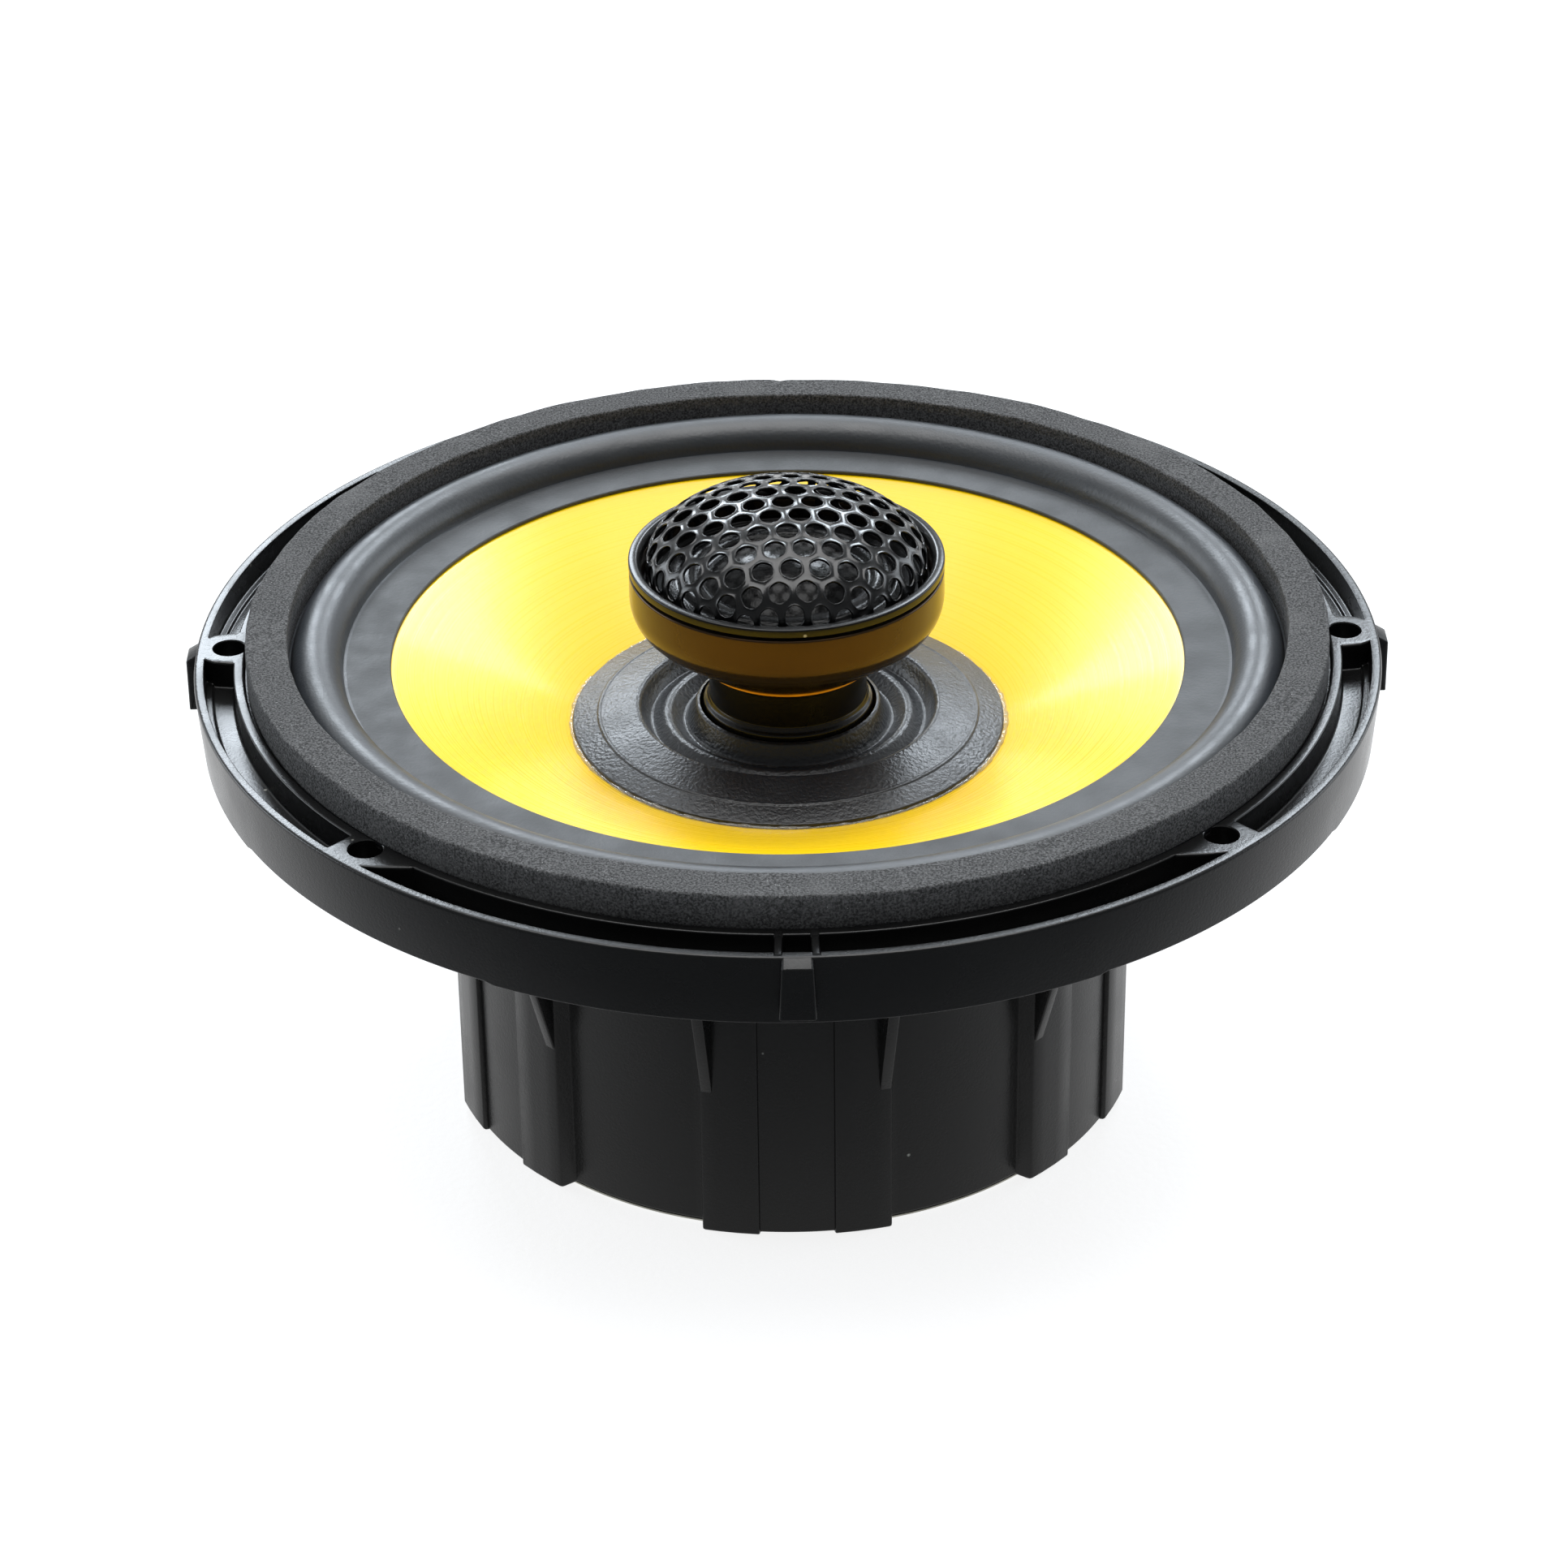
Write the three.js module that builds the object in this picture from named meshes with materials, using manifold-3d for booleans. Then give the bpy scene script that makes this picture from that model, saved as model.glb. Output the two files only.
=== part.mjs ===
// Coaxial car speaker: a woofer in a moulded basket, with a tweeter on a stem at its centre.
// Millimetres, +Z up. The speaker rests on its rear cover, with its front facing up.
// The woofer cone and the tweeter dome slide along Z; everything else is held by the basket.
import * as THREE from 'three';
import { mergeVertices } from 'three/addons/utils/BufferGeometryUtils.js';
import ManifoldModule from 'manifold-3d';

const wasm = await ManifoldModule();
wasm.setup();

// ---------------------------------------------------------------- driving sizes

const GLUE = 0.1;               // adhesive line between faces that are bonded flat
const FIT = 0.3;                // clearance round what passes through a hole
const ROUND = 48;               // facets round a large ring
const MEDIUM = 32;              // facets round a middling ring
const SMALL = 24;               // facets round a small ring
const TINY = 12;                // facets round a screw or a rivet

// basket flange
const RIM_TOP = 67;             // top of the flange rim above the surface it rests on
const RIM_R = 82.5;
const RIM_WIDTH = 1.2;
const SKIRT_DEPTH = 10.3;       // height of the skirt round the flange
const SKIRT_DRAFT = 0.8;        // how far the skirt leans in at its foot
const SKIRT_WALL = 1.9;
const CHANNEL_DEPTH = 4.8;
const CHANNEL_LEDGE = 1.5;      // height and width of the step along the channel's outer wall
const INNER_WALL_R = RIM_R - 5.5;      // outer face of the wall between channel and gasket
const INNER_WALL = 1.4;
const FLOOR_WALL = 1.8;         // plastic under the channel
const SEAT_DEPTH = 1.1;         // seat of the surround and gasket, below the rim
const SEAT_INNER_R = RIM_R - 13.6;

// mounting holes, lugs and pockets of the flange
const HOLE_PCR = RIM_R - 4.7;   // radius of the circle that the mounting holes lie on
const HOLE_R = 2.4;
const BOSS_R = 4.4;
const LAND_ANGLES = [45.4, 134.6, 225.4, 314.6];
const BOSS_ANGLES = [90, 270];
const LUG_REACH = 1.3;          // how far a locating lug stands out of the rim
const LUG_WIDTH = 4.6;
const LUG_LIFT = 1.7;           // how far a lug's foot is above the skirt's
const POCKET_WIDTH = 3.5;
const POCKET_RIB = 1.2;

// bell of the basket
const BELL_R = 47.5;            // outside of the panels
const BELL_WALL = 2;
const PAD_R = 50;               // outside of the raised pads
const BAND_R = 49.3;            // outside of the band between two pads
const PAD_INNER_ANGLE = 6;
const PAD_OUTER_ANGLE = 15;
const PAD_SLANT = 0.9;          // degrees that a pad's outer side leans
const UNIT_ANGLES = [0, 56.3, 123.7, 180, 236.3, 303.7];
const WEB_START = 23.7;         // height where the gusset webs leave the pads
const WEB_TUCK = 0.5;           // how far webs and pads reach into the wall behind them
const FLARE_CHAMFER = 1.2;      // height of the chamfer between flare and flange
const WEB_SLOPE = 0.29;         // outward reach of a web for each millimetre of height
const WEB_THICKNESS = 1.6;
const FLARE_OUT = 1.4;          // top of the flared wall outside the seat

// motor
const COVER_R = 47.3;
const COVER_T = 0.6;
const COVER_HOLE_R = 7.2;
const MOTOR_R = 42;
const YOKE_T = 6;
const MAGNET_T = 18;
const MAGNET_BORE_R = 20;
const TOP_PLATE_T = 6;
const POLE_R = 12.3;
const POLE_RISE = 0.5;          // pole above the top plate
const FORMER_GAP = 0.4;         // pole to voice-coil former
const FORMER_WALL = 0.3;
const FORMER_RISE = 2.96;       // former above the cone's neck
const FORMER_TAIL = 3;          // former below the winding
const WINDING_T = 0.6;
const WINDING_LENGTH = 12;
const WINDING_FIT = 0.05;       // adhesive between former and winding
const COIL_GAP = 0.55;          // winding to top plate
const CABLE_GROOVE = 3.4;       // width of the groove under the yoke
const CABLE_GROOVE_DEPTH = 1.6;
const LEAD_EXIT = 27;           // height where the tweeter leads leave the bell
const LEAD_WINDOW = 2;          // half height of the opening that they leave by
const NUT_R = 5;
const NUT_T = 1.7;
const WASHER_R = 6;
const WASHER_T = 0.8;
const NUT_WELL_R = 6.8;
const NUT_WELL_DEPTH = 4.2;
const YOKE_LIP = 1;             // how far the yoke's plate stands out of the magnet

// basket floor, spider and frame screws
const FLOOR_T = 2.5;
const FLOOR_BORE_R = 17.5;
const LEDGE_HEIGHT = 6.5;       // spider ledge above the basket floor
const LEDGE_INNER_R = 41.5;
const LEDGE_OUTER_R = 46.5;
const SPIDER_T = 0.4;
const SPIDER_ROLLS = 4;
const SPIDER_WAVE = 1.1;
const SCREW_PCR = 35;
const SCREW_R = 1.8;
const SCREW_HEAD_R = 3.3;
const SCREW_HEAD_T = 1.8;
const SCREW_LENGTH = 7;
const SCREW_ANGLES = [45, 135, 225, 315];

// cone, surround and dust seal
const CONE_T = 0.5;
const CONE_EDGE_R = RIM_R - 27.2;      // where the bare cone meets the surround's inner lip
const CONE_RIM_R = RIM_R - 21.9;       // outer edge of the cone, under that lip
const CONE_EDGE_DROP = 2;       // cone's edge below the rim of the flange
const CONE_DEPTH = 18.06;       // from the cone's edge down to its neck
const NECK_LENGTH = 3.5;
const LIP_T = 0.5;
const ROLL_OUTER_R = RIM_R - 13.5;
const ROLL_INNER_R = RIM_R - 20.5;
const SEAL_OUTER_R = 30.4;
const SEAL_T = 0.6;
const SEAL_STEP_R = 20.8;       // edge where the seal drops into its groove
const SEAL_RISE = 0.245;        // rise of the seal's wide slope for each millimetre inward
const SEAL_GROOVE_DEPTH = 2.9;
const SEAL_COLLAR_R = 12.6;

// foam gasket
const GASKET_OUTER_R = RIM_R - 7.3;
const GASKET_INNER_R = RIM_R - 13.1;
const GASKET_T = 4.9;

// stem
const STEM_R = 11.1;
const STEM_FOOT_R = 11.9;
const STEM_FOOT_DROP = 8.5;     // top of the stem's foot below the rim
const STEM_FOOT_T = 1.3;
const STEM_ROD_R = 3;
const STEM_BORE_R = 1.65;
const SPIGOT_R = 5;
const SPIGOT_T = 2;

// tweeter head
const HEAD_R = 21.9;
const HEAD_DROP = 2.4;          // underside of the tweeter head below the rim
const HEAD_FOOT_R = 12.6;
const HEAD_TAPER = 5.9;         // height of the taper, up to the cylindrical band
const HEAD_WALL = 1.6;
const HEAD_FLOOR = 1.7;
const HEAD_HEIGHT = 13.9;       // from the underside to the top of the band
const BEZEL_GAP = 0.3;
const BEZEL_T = 1.5;
const BEZEL_EDGE = 0.35;        // rounding of the bezel's top edges
const GRILLE_FIT = 0.4;         // grille's skirt to the head's wall
const GRILLE_RISE = 9.1;        // top of the grille above the bezel
const GRILLE_T = 0.6;
const GRILLE_SKIRT = 2.2;       // straight wall at the foot of the grille
const GRILLE_PITCH = 4.6;
const GRILLE_HOLE_R = 1.75;
const GRILLE_RINGS = 4;         // rings of holes round the middle one
const GRILLE_FACETS = 18;
const POT_R = 13.6;
const POT_STAND = 4.3;          // tweeter pot above the head's underside
const POT_FLOOR = 1.3;
const POT_WALL = 1.4;
const POT_HEIGHT = 5.5;
const TWEETER_MAGNET_R = 10;
const TWEETER_PLATE_R = 10.9;
const TWEETER_PLATE_T = 1.9;
const TWEETER_FORMER_R = 11.2;
const TWEETER_FORMER_WALL = 0.25;
const TWEETER_FORMER_LENGTH = 4.5;
const TWEETER_COIL_T = 0.3;
const TWEETER_COIL_LENGTH = 2;
const FACEPLATE_GAP = 0.2;      // pot to faceplate
const FACEPLATE_T = 1.8;
const FACEPLATE_BORE_R = 13;
const FACEPLATE_THROAT = 0.7;   // depth of the horn's foot above the faceplate's underside
const FACEPLATE_FLARE = 2;      // how much wider the horn is at its mouth
const DOME_HEIGHT = 3.8;
const DOME_T = 0.25;

// terminals and leads
const BLOCK_WIDTH = 34;
const BLOCK_HEIGHT = 12;
const WINDOW_WIDTH = 21;
const WINDOW_HEIGHT = 7;
const BOARD_T = 2;
const BLADE_X = 6.5;
const BLADE_DROP = 21;          // middle of the blades below the rim
const BLADE_T = 0.8;
const BLADE_WIDTHS = [6.3, 4.8];
const BLADE_INSIDE = 6;         // blade behind the block's face
const BLADE_OUTSIDE = 15;       // blade in front of it
const RIVET_X = 13.8;
const RIVET_R = 1.3;
const RIVET_HEAD_R = 2.5;
const RIVET_HEAD_T = 0.9;
const LEAD_R = 0.5;
const TINSEL_R = 0.7;
const CAPACITOR_R = 4.5;
const CAPACITOR_LENGTH = 18;
const CAPACITOR_ANGLE = 150;    // degrees round from the front
const CAPACITOR_GAP = 0.27;     // bedding between the capacitor and the flared wall
const CAPACITOR_DROP = 22.5;    // capacitor's axis below the rim
const LEAD_OFFSET = 0.65;       // lead to the middle of the stem
const LEAD_WALL_GAP = 0.75;     // lead to the inside of the bell where it rises
const SOLDER_REACH = 3.4;       // solder joint on a blade, outside the board

// ---------------------------------------------------------------- derived heights

const yokeBottom = COVER_T + GLUE;
const yokeTop = yokeBottom + YOKE_T;
const magnetBottom = yokeTop + GLUE;
const magnetTop = magnetBottom + MAGNET_T;
const topPlateBottom = magnetTop + GLUE;
const topPlateTop = topPlateBottom + TOP_PLATE_T;
const poleTop = topPlateTop + POLE_RISE;
const basketFloorBottom = topPlateTop + GLUE;
const basketFloorTop = basketFloorBottom + FLOOR_T;
const ledgeTop = basketFloorTop + LEDGE_HEIGHT;
const bellBottom = COVER_T + GLUE;
const flareFootZ = ledgeTop - BELL_WALL;
const skirtBottom = RIM_TOP - SKIRT_DEPTH;
const seatZ = RIM_TOP - SEAT_DEPTH;
const channelFloor = RIM_TOP - CHANNEL_DEPTH;
const flangeUnderside = channelFloor - FLOOR_WALL;
const flareTopZ = flangeUnderside - FLARE_CHAMFER;
const flareTopR = SEAT_INNER_R + FLARE_OUT;
const flareSlope = (flareTopZ - flareFootZ) / (flareTopR - BELL_R);
const formerR = POLE_R + FORMER_GAP;
const formerOuterR = formerR + FORMER_WALL;
const windingR = formerOuterR + WINDING_FIT + WINDING_T;
const topPlateBoreR = windingR + COIL_GAP;
const coilCentre = topPlateBottom + TOP_PLATE_T / 2;
const coneEdgeZ = RIM_TOP - CONE_EDGE_DROP;
const neckR = formerOuterR + FIT;
const wellTop = yokeBottom + NUT_WELL_DEPTH;
const nutTop = wellTop - WASHER_T - GLUE;
const yokeR = MOTOR_R + YOKE_LIP;
const stemFootTop = RIM_TOP - STEM_FOOT_DROP;
const headBottom = RIM_TOP - HEAD_DROP;
const headShoulder = headBottom + HEAD_TAPER;
const bandTop = headBottom + HEAD_HEIGHT;
const bezelTop = bandTop + BEZEL_GAP + BEZEL_T;
const grilleTop = bezelTop + GRILLE_RISE;
const potBottom = headBottom + POT_STAND;
const potTop = potBottom + POT_HEIGHT;
const faceplateBottom = potTop + FACEPLATE_GAP;
const faceplateTop = faceplateBottom + FACEPLATE_T;
const faceplateR = HEAD_R - HEAD_WALL - FIT;
const grilleFoot = faceplateTop + FIT;
const grilleR = HEAD_R - HEAD_WALL - GRILLE_FIT;
const bladeZ = RIM_TOP - BLADE_DROP;
const blockBottom = bladeZ - BLOCK_HEIGHT / 2 - 0.5;
const blockTop = blockBottom + BLOCK_HEIGHT;
const blockFace = flareOuterR(blockTop);
const bladeBack = blockFace - BLADE_INSIDE;
const bladeTip = blockFace + BLADE_OUTSIDE;
const capacitorZ = RIM_TOP - CAPACITOR_DROP;
const flareSine = flareSlope / Math.hypot(1, flareSlope);
const capacitorR = flareOuterR(capacitorZ) + (CAPACITOR_R + CAPACITOR_GAP) / flareSine;
const coneSlope = CONE_DEPTH / (CONE_EDGE_R - neckR);

/** Height of the cone's front face at a radius. */
function coneZ(r) {
  return coneEdgeZ - (CONE_EDGE_R - r) * coneSlope;
}

/** Radius of the flared wall's outer face at a height. */
function flareOuterR(z) {
  return BELL_R + (z - flareFootZ) / flareSlope;
}

/** Radius of the flared wall's inner face at a height. */
function flareInnerR(z) {
  return LEDGE_OUTER_R + (z - ledgeTop) / flareSlope;
}

// ---------------------------------------------------------------- shape helpers

/** Points of a closed outline, turned so that it runs anticlockwise. */
function anticlockwise(points) {
  let area = 0;
  points.forEach(([x, y], i) => {
    const [nx, ny] = points[(i + 1) % points.length];
    area += x * ny - nx * y;
  });
  return area > 0 ? points : [...points].reverse();
}

/** Solid of revolution round Z from a closed outline of [radius, height] pairs. */
function turned(points, facets = ROUND) {
  const outline = anticlockwise(points).map(([r, z]) => new THREE.Vector2(Math.max(r, 0), z));
  const onAxis = outline.filter((p) => p.x < 1e-9).length;
  if (onAxis === 0) {
    outline.push(outline[0].clone());
  } else {
    // start the profile at the lower axis point, so that it ends at the upper one
    const start = outline.findIndex((p, i) => {
      const before = outline[(i + outline.length - 1) % outline.length];
      return p.x < 1e-9 && before.x < 1e-9;
    });
    outline.push(...outline.splice(0, start));
  }
  const geometry = new THREE.LatheGeometry(outline, facets);
  geometry.rotateX(Math.PI / 2);
  return geometry;
}

/** Straight cylinder along Z between two heights. */
function cylinder(radius, bottom, top, x = 0, y = 0, facets = SMALL) {
  const geometry = new THREE.CylinderGeometry(radius, radius, top - bottom, facets);
  geometry.rotateX(Math.PI / 2);
  geometry.translate(x, y, (top + bottom) / 2);
  return geometry;
}

/** Box from its smallest and largest corners. */
function block(x0, y0, z0, x1, y1, z1) {
  const geometry = new THREE.BoxGeometry(x1 - x0, y1 - y0, z1 - z0);
  geometry.translate((x0 + x1) / 2, (y0 + y1) / 2, (z0 + z1) / 2);
  return geometry;
}

/** Flat outline in plan, raised from one height to another. */
function prism(points, bottom, top) {
  const shape = new THREE.Shape(anticlockwise(points).map(([x, y]) => new THREE.Vector2(x, y)));
  const geometry = new THREE.ExtrudeGeometry(shape, { depth: top - bottom, bevelEnabled: false });
  geometry.translate(0, 0, bottom);
  return geometry;
}

/** Point in plan at a radius and an angle in degrees from the front, turning to the right. */
function polar(radius, degrees) {
  const a = THREE.MathUtils.degToRad(degrees);
  return [radius * Math.sin(a), -radius * Math.cos(a)];
}

/** Points along an arc in plan. */
function arc(radius, from, to, steps) {
  const points = [];
  for (let i = 0; i <= steps; i += 1) points.push(polar(radius, from + ((to - from) * i) / steps));
  return points;
}

/** Turns a geometry round Z so that its front side faces the given angle. */
function facing(geometry, degrees) {
  return geometry.rotateZ(THREE.MathUtils.degToRad(degrees));
}

/** Smooth line whose steps are shared out evenly between its points, so that tight bends get as many. */
class Route extends THREE.CatmullRomCurve3 {
  getPointAt(u) {
    return this.getPoint(u);
  }

  getTangentAt(u) {
    return this.getTangent(u);
  }
}

/** Round bar along a smooth line through the points. */
function bar(points, radius, stepsPerPoint = 2, sides = 6) {
  const line = new Route(points.map((p) => new THREE.Vector3(...p)), false, 'centripetal');
  const section = new THREE.Shape();
  for (let i = 0; i < sides; i += 1) {
    const a = (2 * Math.PI * i) / sides;
    const [x, y] = [radius * Math.cos(a), radius * Math.sin(a)];
    if (i === 0) section.moveTo(x, y);
    else section.lineTo(x, y);
  }
  const steps = (points.length - 1) * stepsPerPoint;
  return new THREE.ExtrudeGeometry(section, { steps, extrudePath: line, bevelEnabled: false });
}

function toManifold(geometry) {
  const bare = geometry.clone();
  bare.deleteAttribute('normal');
  bare.deleteAttribute('uv');
  const welded = mergeVertices(bare, 1e-4);
  const corners = welded.index.array;
  const kept = [];
  for (let i = 0; i < corners.length; i += 3) {
    const [a, b, c] = [corners[i], corners[i + 1], corners[i + 2]];
    if (a !== b && b !== c && c !== a) kept.push(a, b, c);
  }
  return new wasm.Manifold(new wasm.Mesh({
    numProp: 3,
    vertProperties: new Float32Array(welded.attributes.position.array),
    triVerts: new Uint32Array(kept),
  }));
}

function toGeometry(manifold) {
  const mesh = manifold.getMesh();
  const geometry = new THREE.BufferGeometry();
  geometry.setAttribute('position', new THREE.BufferAttribute(new Float32Array(mesh.vertProperties), 3));
  geometry.setIndex(new THREE.BufferAttribute(new Uint32Array(mesh.triVerts), 1));
  geometry.computeVertexNormals();
  return geometry;
}

/** One geometry from what is added and what is cut away. */
function carve(added, cuts = []) {
  let solid = added.map(toManifold).reduce((a, b) => a.add(b));
  for (const cut of cuts) solid = solid.subtract(toManifold(cut));
  return toGeometry(solid);
}

/** Both faces of a thin sheet: its upper line and the same line moved down. */
function sheet(upper, thickness) {
  return [...upper, ...[...upper].reverse().map(([r, z]) => [r, z - thickness])];
}

// ---------------------------------------------------------------- materials and group

const speaker = new THREE.Group();

function finish(color, roughness, metalness = 0) {
  return new THREE.MeshStandardMaterial({ color, roughness, metalness });
}

function addPart(name, geometry, material) {
  const mesh = new THREE.Mesh(geometry, material);
  mesh.name = name;
  speaker.add(mesh);
}

const plastic = () => finish('#17181a', 0.42);
const rubber = () => finish('#1d2024', 0.5);
const foam = () => finish('#333436', 0.95);
const coneFilm = () => finish('#f6cb12', 0.22);
const zincSteel = () => finish('#a9a89c', 0.35, 1);
const ferrite = () => finish('#2b2b2d', 0.6);
const copper = () => finish('#b8703a', 0.3, 1);
const brass = () => finish('#c9a24a', 0.3, 1);
const kapton = () => finish('#a4651c', 0.35);

// ---------------------------------------------------------------- basket

/** Outline of the turned basket: bell, flared wall and flange. */
function basketOutline() {
  return [
    [BELL_R - BELL_WALL, bellBottom],
    [BELL_R, bellBottom],
    [BELL_R, flareFootZ],
    [flareTopR, flareTopZ],
    [flareTopR + 1.6, flangeUnderside],
    [RIM_R - SKIRT_DRAFT - SKIRT_WALL, flangeUnderside],
    [RIM_R - SKIRT_DRAFT - SKIRT_WALL, skirtBottom],
    [RIM_R - SKIRT_DRAFT, skirtBottom],
    [RIM_R, RIM_TOP - 0.4],
    [RIM_R - 0.3, RIM_TOP],
    [RIM_R - RIM_WIDTH, RIM_TOP],
    [RIM_R - RIM_WIDTH, channelFloor + CHANNEL_LEDGE],
    [RIM_R - RIM_WIDTH - CHANNEL_LEDGE, channelFloor + CHANNEL_LEDGE],
    [RIM_R - RIM_WIDTH - CHANNEL_LEDGE, channelFloor],
    [INNER_WALL_R, channelFloor],
    [INNER_WALL_R, RIM_TOP],
    [INNER_WALL_R - INNER_WALL, RIM_TOP],
    [INNER_WALL_R - INNER_WALL, seatZ],
    [SEAT_INNER_R, seatZ],
    [flareInnerR(flangeUnderside), flangeUnderside],
    [LEDGE_OUTER_R, ledgeTop],
    [LEDGE_INNER_R, ledgeTop],
    [LEDGE_INNER_R, basketFloorTop],
    [FLOOR_BORE_R, basketFloorTop],
    [FLOOR_BORE_R, basketFloorBottom],
    [BELL_R - BELL_WALL, basketFloorBottom],
  ];
}

/** Two raised pads with the shallower band between them, for one of the bell's units. */
function bellUnit(degrees) {
  const inner = BELL_R - WEB_TUCK;
  const outer = PAD_OUTER_ANGLE;
  const inside = PAD_INNER_ANGLE;
  const outline = [
    ...arc(PAD_R, -outer, -inside, 3),
    ...arc(BAND_R, -inside + 0.15, inside - 0.15, 4),
    ...arc(PAD_R, inside, outer, 3),
    ...arc(inner, outer + PAD_SLANT, -outer - PAD_SLANT, 8),
  ];
  return facing(prism(outline, bellBottom, ledgeTop + 0.2), degrees);
}

/** Gusset web at the outer side of a pad, rising outward until the flared wall swallows it. */
function gusset(degrees, side) {
  const meetZ = (PAD_R - BELL_R - WEB_START * WEB_SLOPE + flareFootZ / flareSlope)
    / (1 / flareSlope - WEB_SLOPE);
  const meetR = PAD_R + (meetZ - WEB_START) * WEB_SLOPE;
  const outline = [
    [BELL_R - WEB_TUCK, WEB_START],
    [PAD_R, WEB_START],
    [meetR, meetZ],
    [meetR - 0.5, meetZ],
    [BELL_R - WEB_TUCK, flareFootZ],
  ];
  const web = prism(outline, -WEB_THICKNESS / 2, WEB_THICKNESS / 2);
  web.rotateX(Math.PI / 2);
  web.rotateZ(-Math.PI / 2);
  const inset = Math.asin(WEB_THICKNESS / 2 / PAD_R) * THREE.MathUtils.RAD2DEG;
  return facing(web, degrees + side * (PAD_OUTER_ANGLE - inset));
}

/** Flat land across the channel at a mounting hole; its front-facing end is slanted. */
function holeLand(degrees) {
  const towardFront = degrees < 180 ? -1 : 1;
  const awayFromSide = Math.cos(THREE.MathUtils.degToRad(degrees)) > 0 ? 1 : -1;
  const side = towardFront * awayFromSide;
  const outline = [
    polar(INNER_WALL_R - 0.5, side * 6.2),
    polar(RIM_R - RIM_WIDTH + 0.4, side * 2.2),
    polar(RIM_R - RIM_WIDTH + 0.4, side * -3.2),
    polar(INNER_WALL_R - 0.5, side * -3.2),
  ];
  return facing(prism(outline, skirtBottom, RIM_TOP), degrees);
}

/** Locating lug on the skirt, with a sloping top. */
function lug(degrees) {
  const outline = [
    [RIM_R - SKIRT_DRAFT - 1, skirtBottom + LUG_LIFT],
    [RIM_R + LUG_REACH, skirtBottom + LUG_LIFT],
    [RIM_R + LUG_REACH, RIM_TOP - 1],
    [RIM_R - 0.3, RIM_TOP - 0.1],
    [RIM_R - SKIRT_DRAFT - 1, RIM_TOP - 0.1],
  ];
  const body = prism(outline, -LUG_WIDTH / 2, LUG_WIDTH / 2);
  body.rotateX(Math.PI / 2);
  body.rotateZ(-Math.PI / 2);
  return facing(body, degrees);
}

/** Rib across the channel beside a lug's pocket. */
function pocketRib(degrees, side) {
  const x = (side * (POCKET_WIDTH + POCKET_RIB)) / 2;
  const rib = block(x - POCKET_RIB / 2, -(RIM_R - RIM_WIDTH + 0.4), channelFloor - 0.5,
    x + POCKET_RIB / 2, -(INNER_WALL_R - 0.5), RIM_TOP - 0.3);
  return facing(rib, degrees);
}

function basket() {
  const added = [turned(basketOutline())];
  for (const degrees of UNIT_ANGLES) {
    added.push(bellUnit(degrees), gusset(degrees, 1), gusset(degrees, -1));
  }
  for (const degrees of LAND_ANGLES) added.push(holeLand(degrees));
  for (const degrees of BOSS_ANGLES) {
    const [x, y] = polar(HOLE_PCR, degrees);
    added.push(cylinder(BOSS_R, skirtBottom, RIM_TOP, x, y), lug(degrees));
  }
  for (const degrees of [0, 180]) {
    added.push(lug(degrees), pocketRib(degrees, 1), pocketRib(degrees, -1));
  }
  added.push(block(-BLOCK_WIDTH / 2, BELL_R - 1, blockBottom, BLOCK_WIDTH / 2, blockFace, blockTop));

  const cuts = [
    // room for the moving parts inside the flare, and the seat under the gasket
    turned([[0, ledgeTop], [LEDGE_OUTER_R, ledgeTop], [flareInnerR(flangeUnderside), flangeUnderside],
      [SEAT_INNER_R, seatZ], [INNER_WALL_R - INNER_WALL, seatZ], [INNER_WALL_R - INNER_WALL, RIM_TOP + 1],
      [0, RIM_TOP + 1]]),
    block(-WINDOW_WIDTH / 2, LEDGE_INNER_R, bladeZ - WINDOW_HEIGHT / 2, WINDOW_WIDTH / 2, blockFace + 1,
      bladeZ + WINDOW_HEIGHT / 2),
    // exit of the tweeter leads from the bell
    block(-CABLE_GROOVE / 2, BELL_R - BELL_WALL - 1, LEAD_EXIT - LEAD_WINDOW,
      CABLE_GROOVE / 2, PAD_R + 1, LEAD_EXIT + LEAD_WINDOW),
  ];
  for (const degrees of [...LAND_ANGLES, ...BOSS_ANGLES]) {
    const [x, y] = polar(HOLE_PCR, degrees);
    cuts.push(cylinder(HOLE_R, skirtBottom - 1, RIM_TOP + 1, x, y, 2 * TINY));
  }
  for (const degrees of SCREW_ANGLES) {
    const [x, y] = polar(SCREW_PCR, degrees);
    cuts.push(cylinder(SCREW_R + FIT, basketFloorBottom - 1, basketFloorTop + 1, x, y, TINY));
  }
  for (const side of [-1, 1]) {
    const hole = cylinder(RIVET_R + FIT, -5, 5, 0, 0, TINY);
    hole.rotateX(Math.PI / 2);
    hole.translate(side * RIVET_X, blockFace, bladeZ);
    cuts.push(hole);
  }
  return carve(added, cuts);
}

// ---------------------------------------------------------------- motor

function yoke() {
  const body = turned([[STEM_ROD_R + FIT, wellTop], [NUT_WELL_R, wellTop], [NUT_WELL_R, yokeBottom],
    [yokeR, yokeBottom], [yokeR, yokeTop], [POLE_R, yokeTop], [POLE_R, poleTop],
    [STEM_ROD_R + FIT, poleTop]]);
  const groove = block(-CABLE_GROOVE / 2, NUT_WELL_R - 1, yokeBottom - 1, CABLE_GROOVE / 2, yokeR + 1,
    yokeBottom + CABLE_GROOVE_DEPTH);
  return carve([body], [groove]);
}

function topPlate() {
  const plate = turned([[topPlateBoreR, topPlateBottom], [MOTOR_R, topPlateBottom], [MOTOR_R, topPlateTop],
    [topPlateBoreR, topPlateTop]]);
  const tapped = SCREW_ANGLES.map((degrees) => {
    const [x, y] = polar(SCREW_PCR, degrees);
    return cylinder(SCREW_R + FIT, topPlateTop - SCREW_LENGTH + FLOOR_T, topPlateTop + 1, x, y, TINY);
  });
  return carve([plate], tapped);
}

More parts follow.
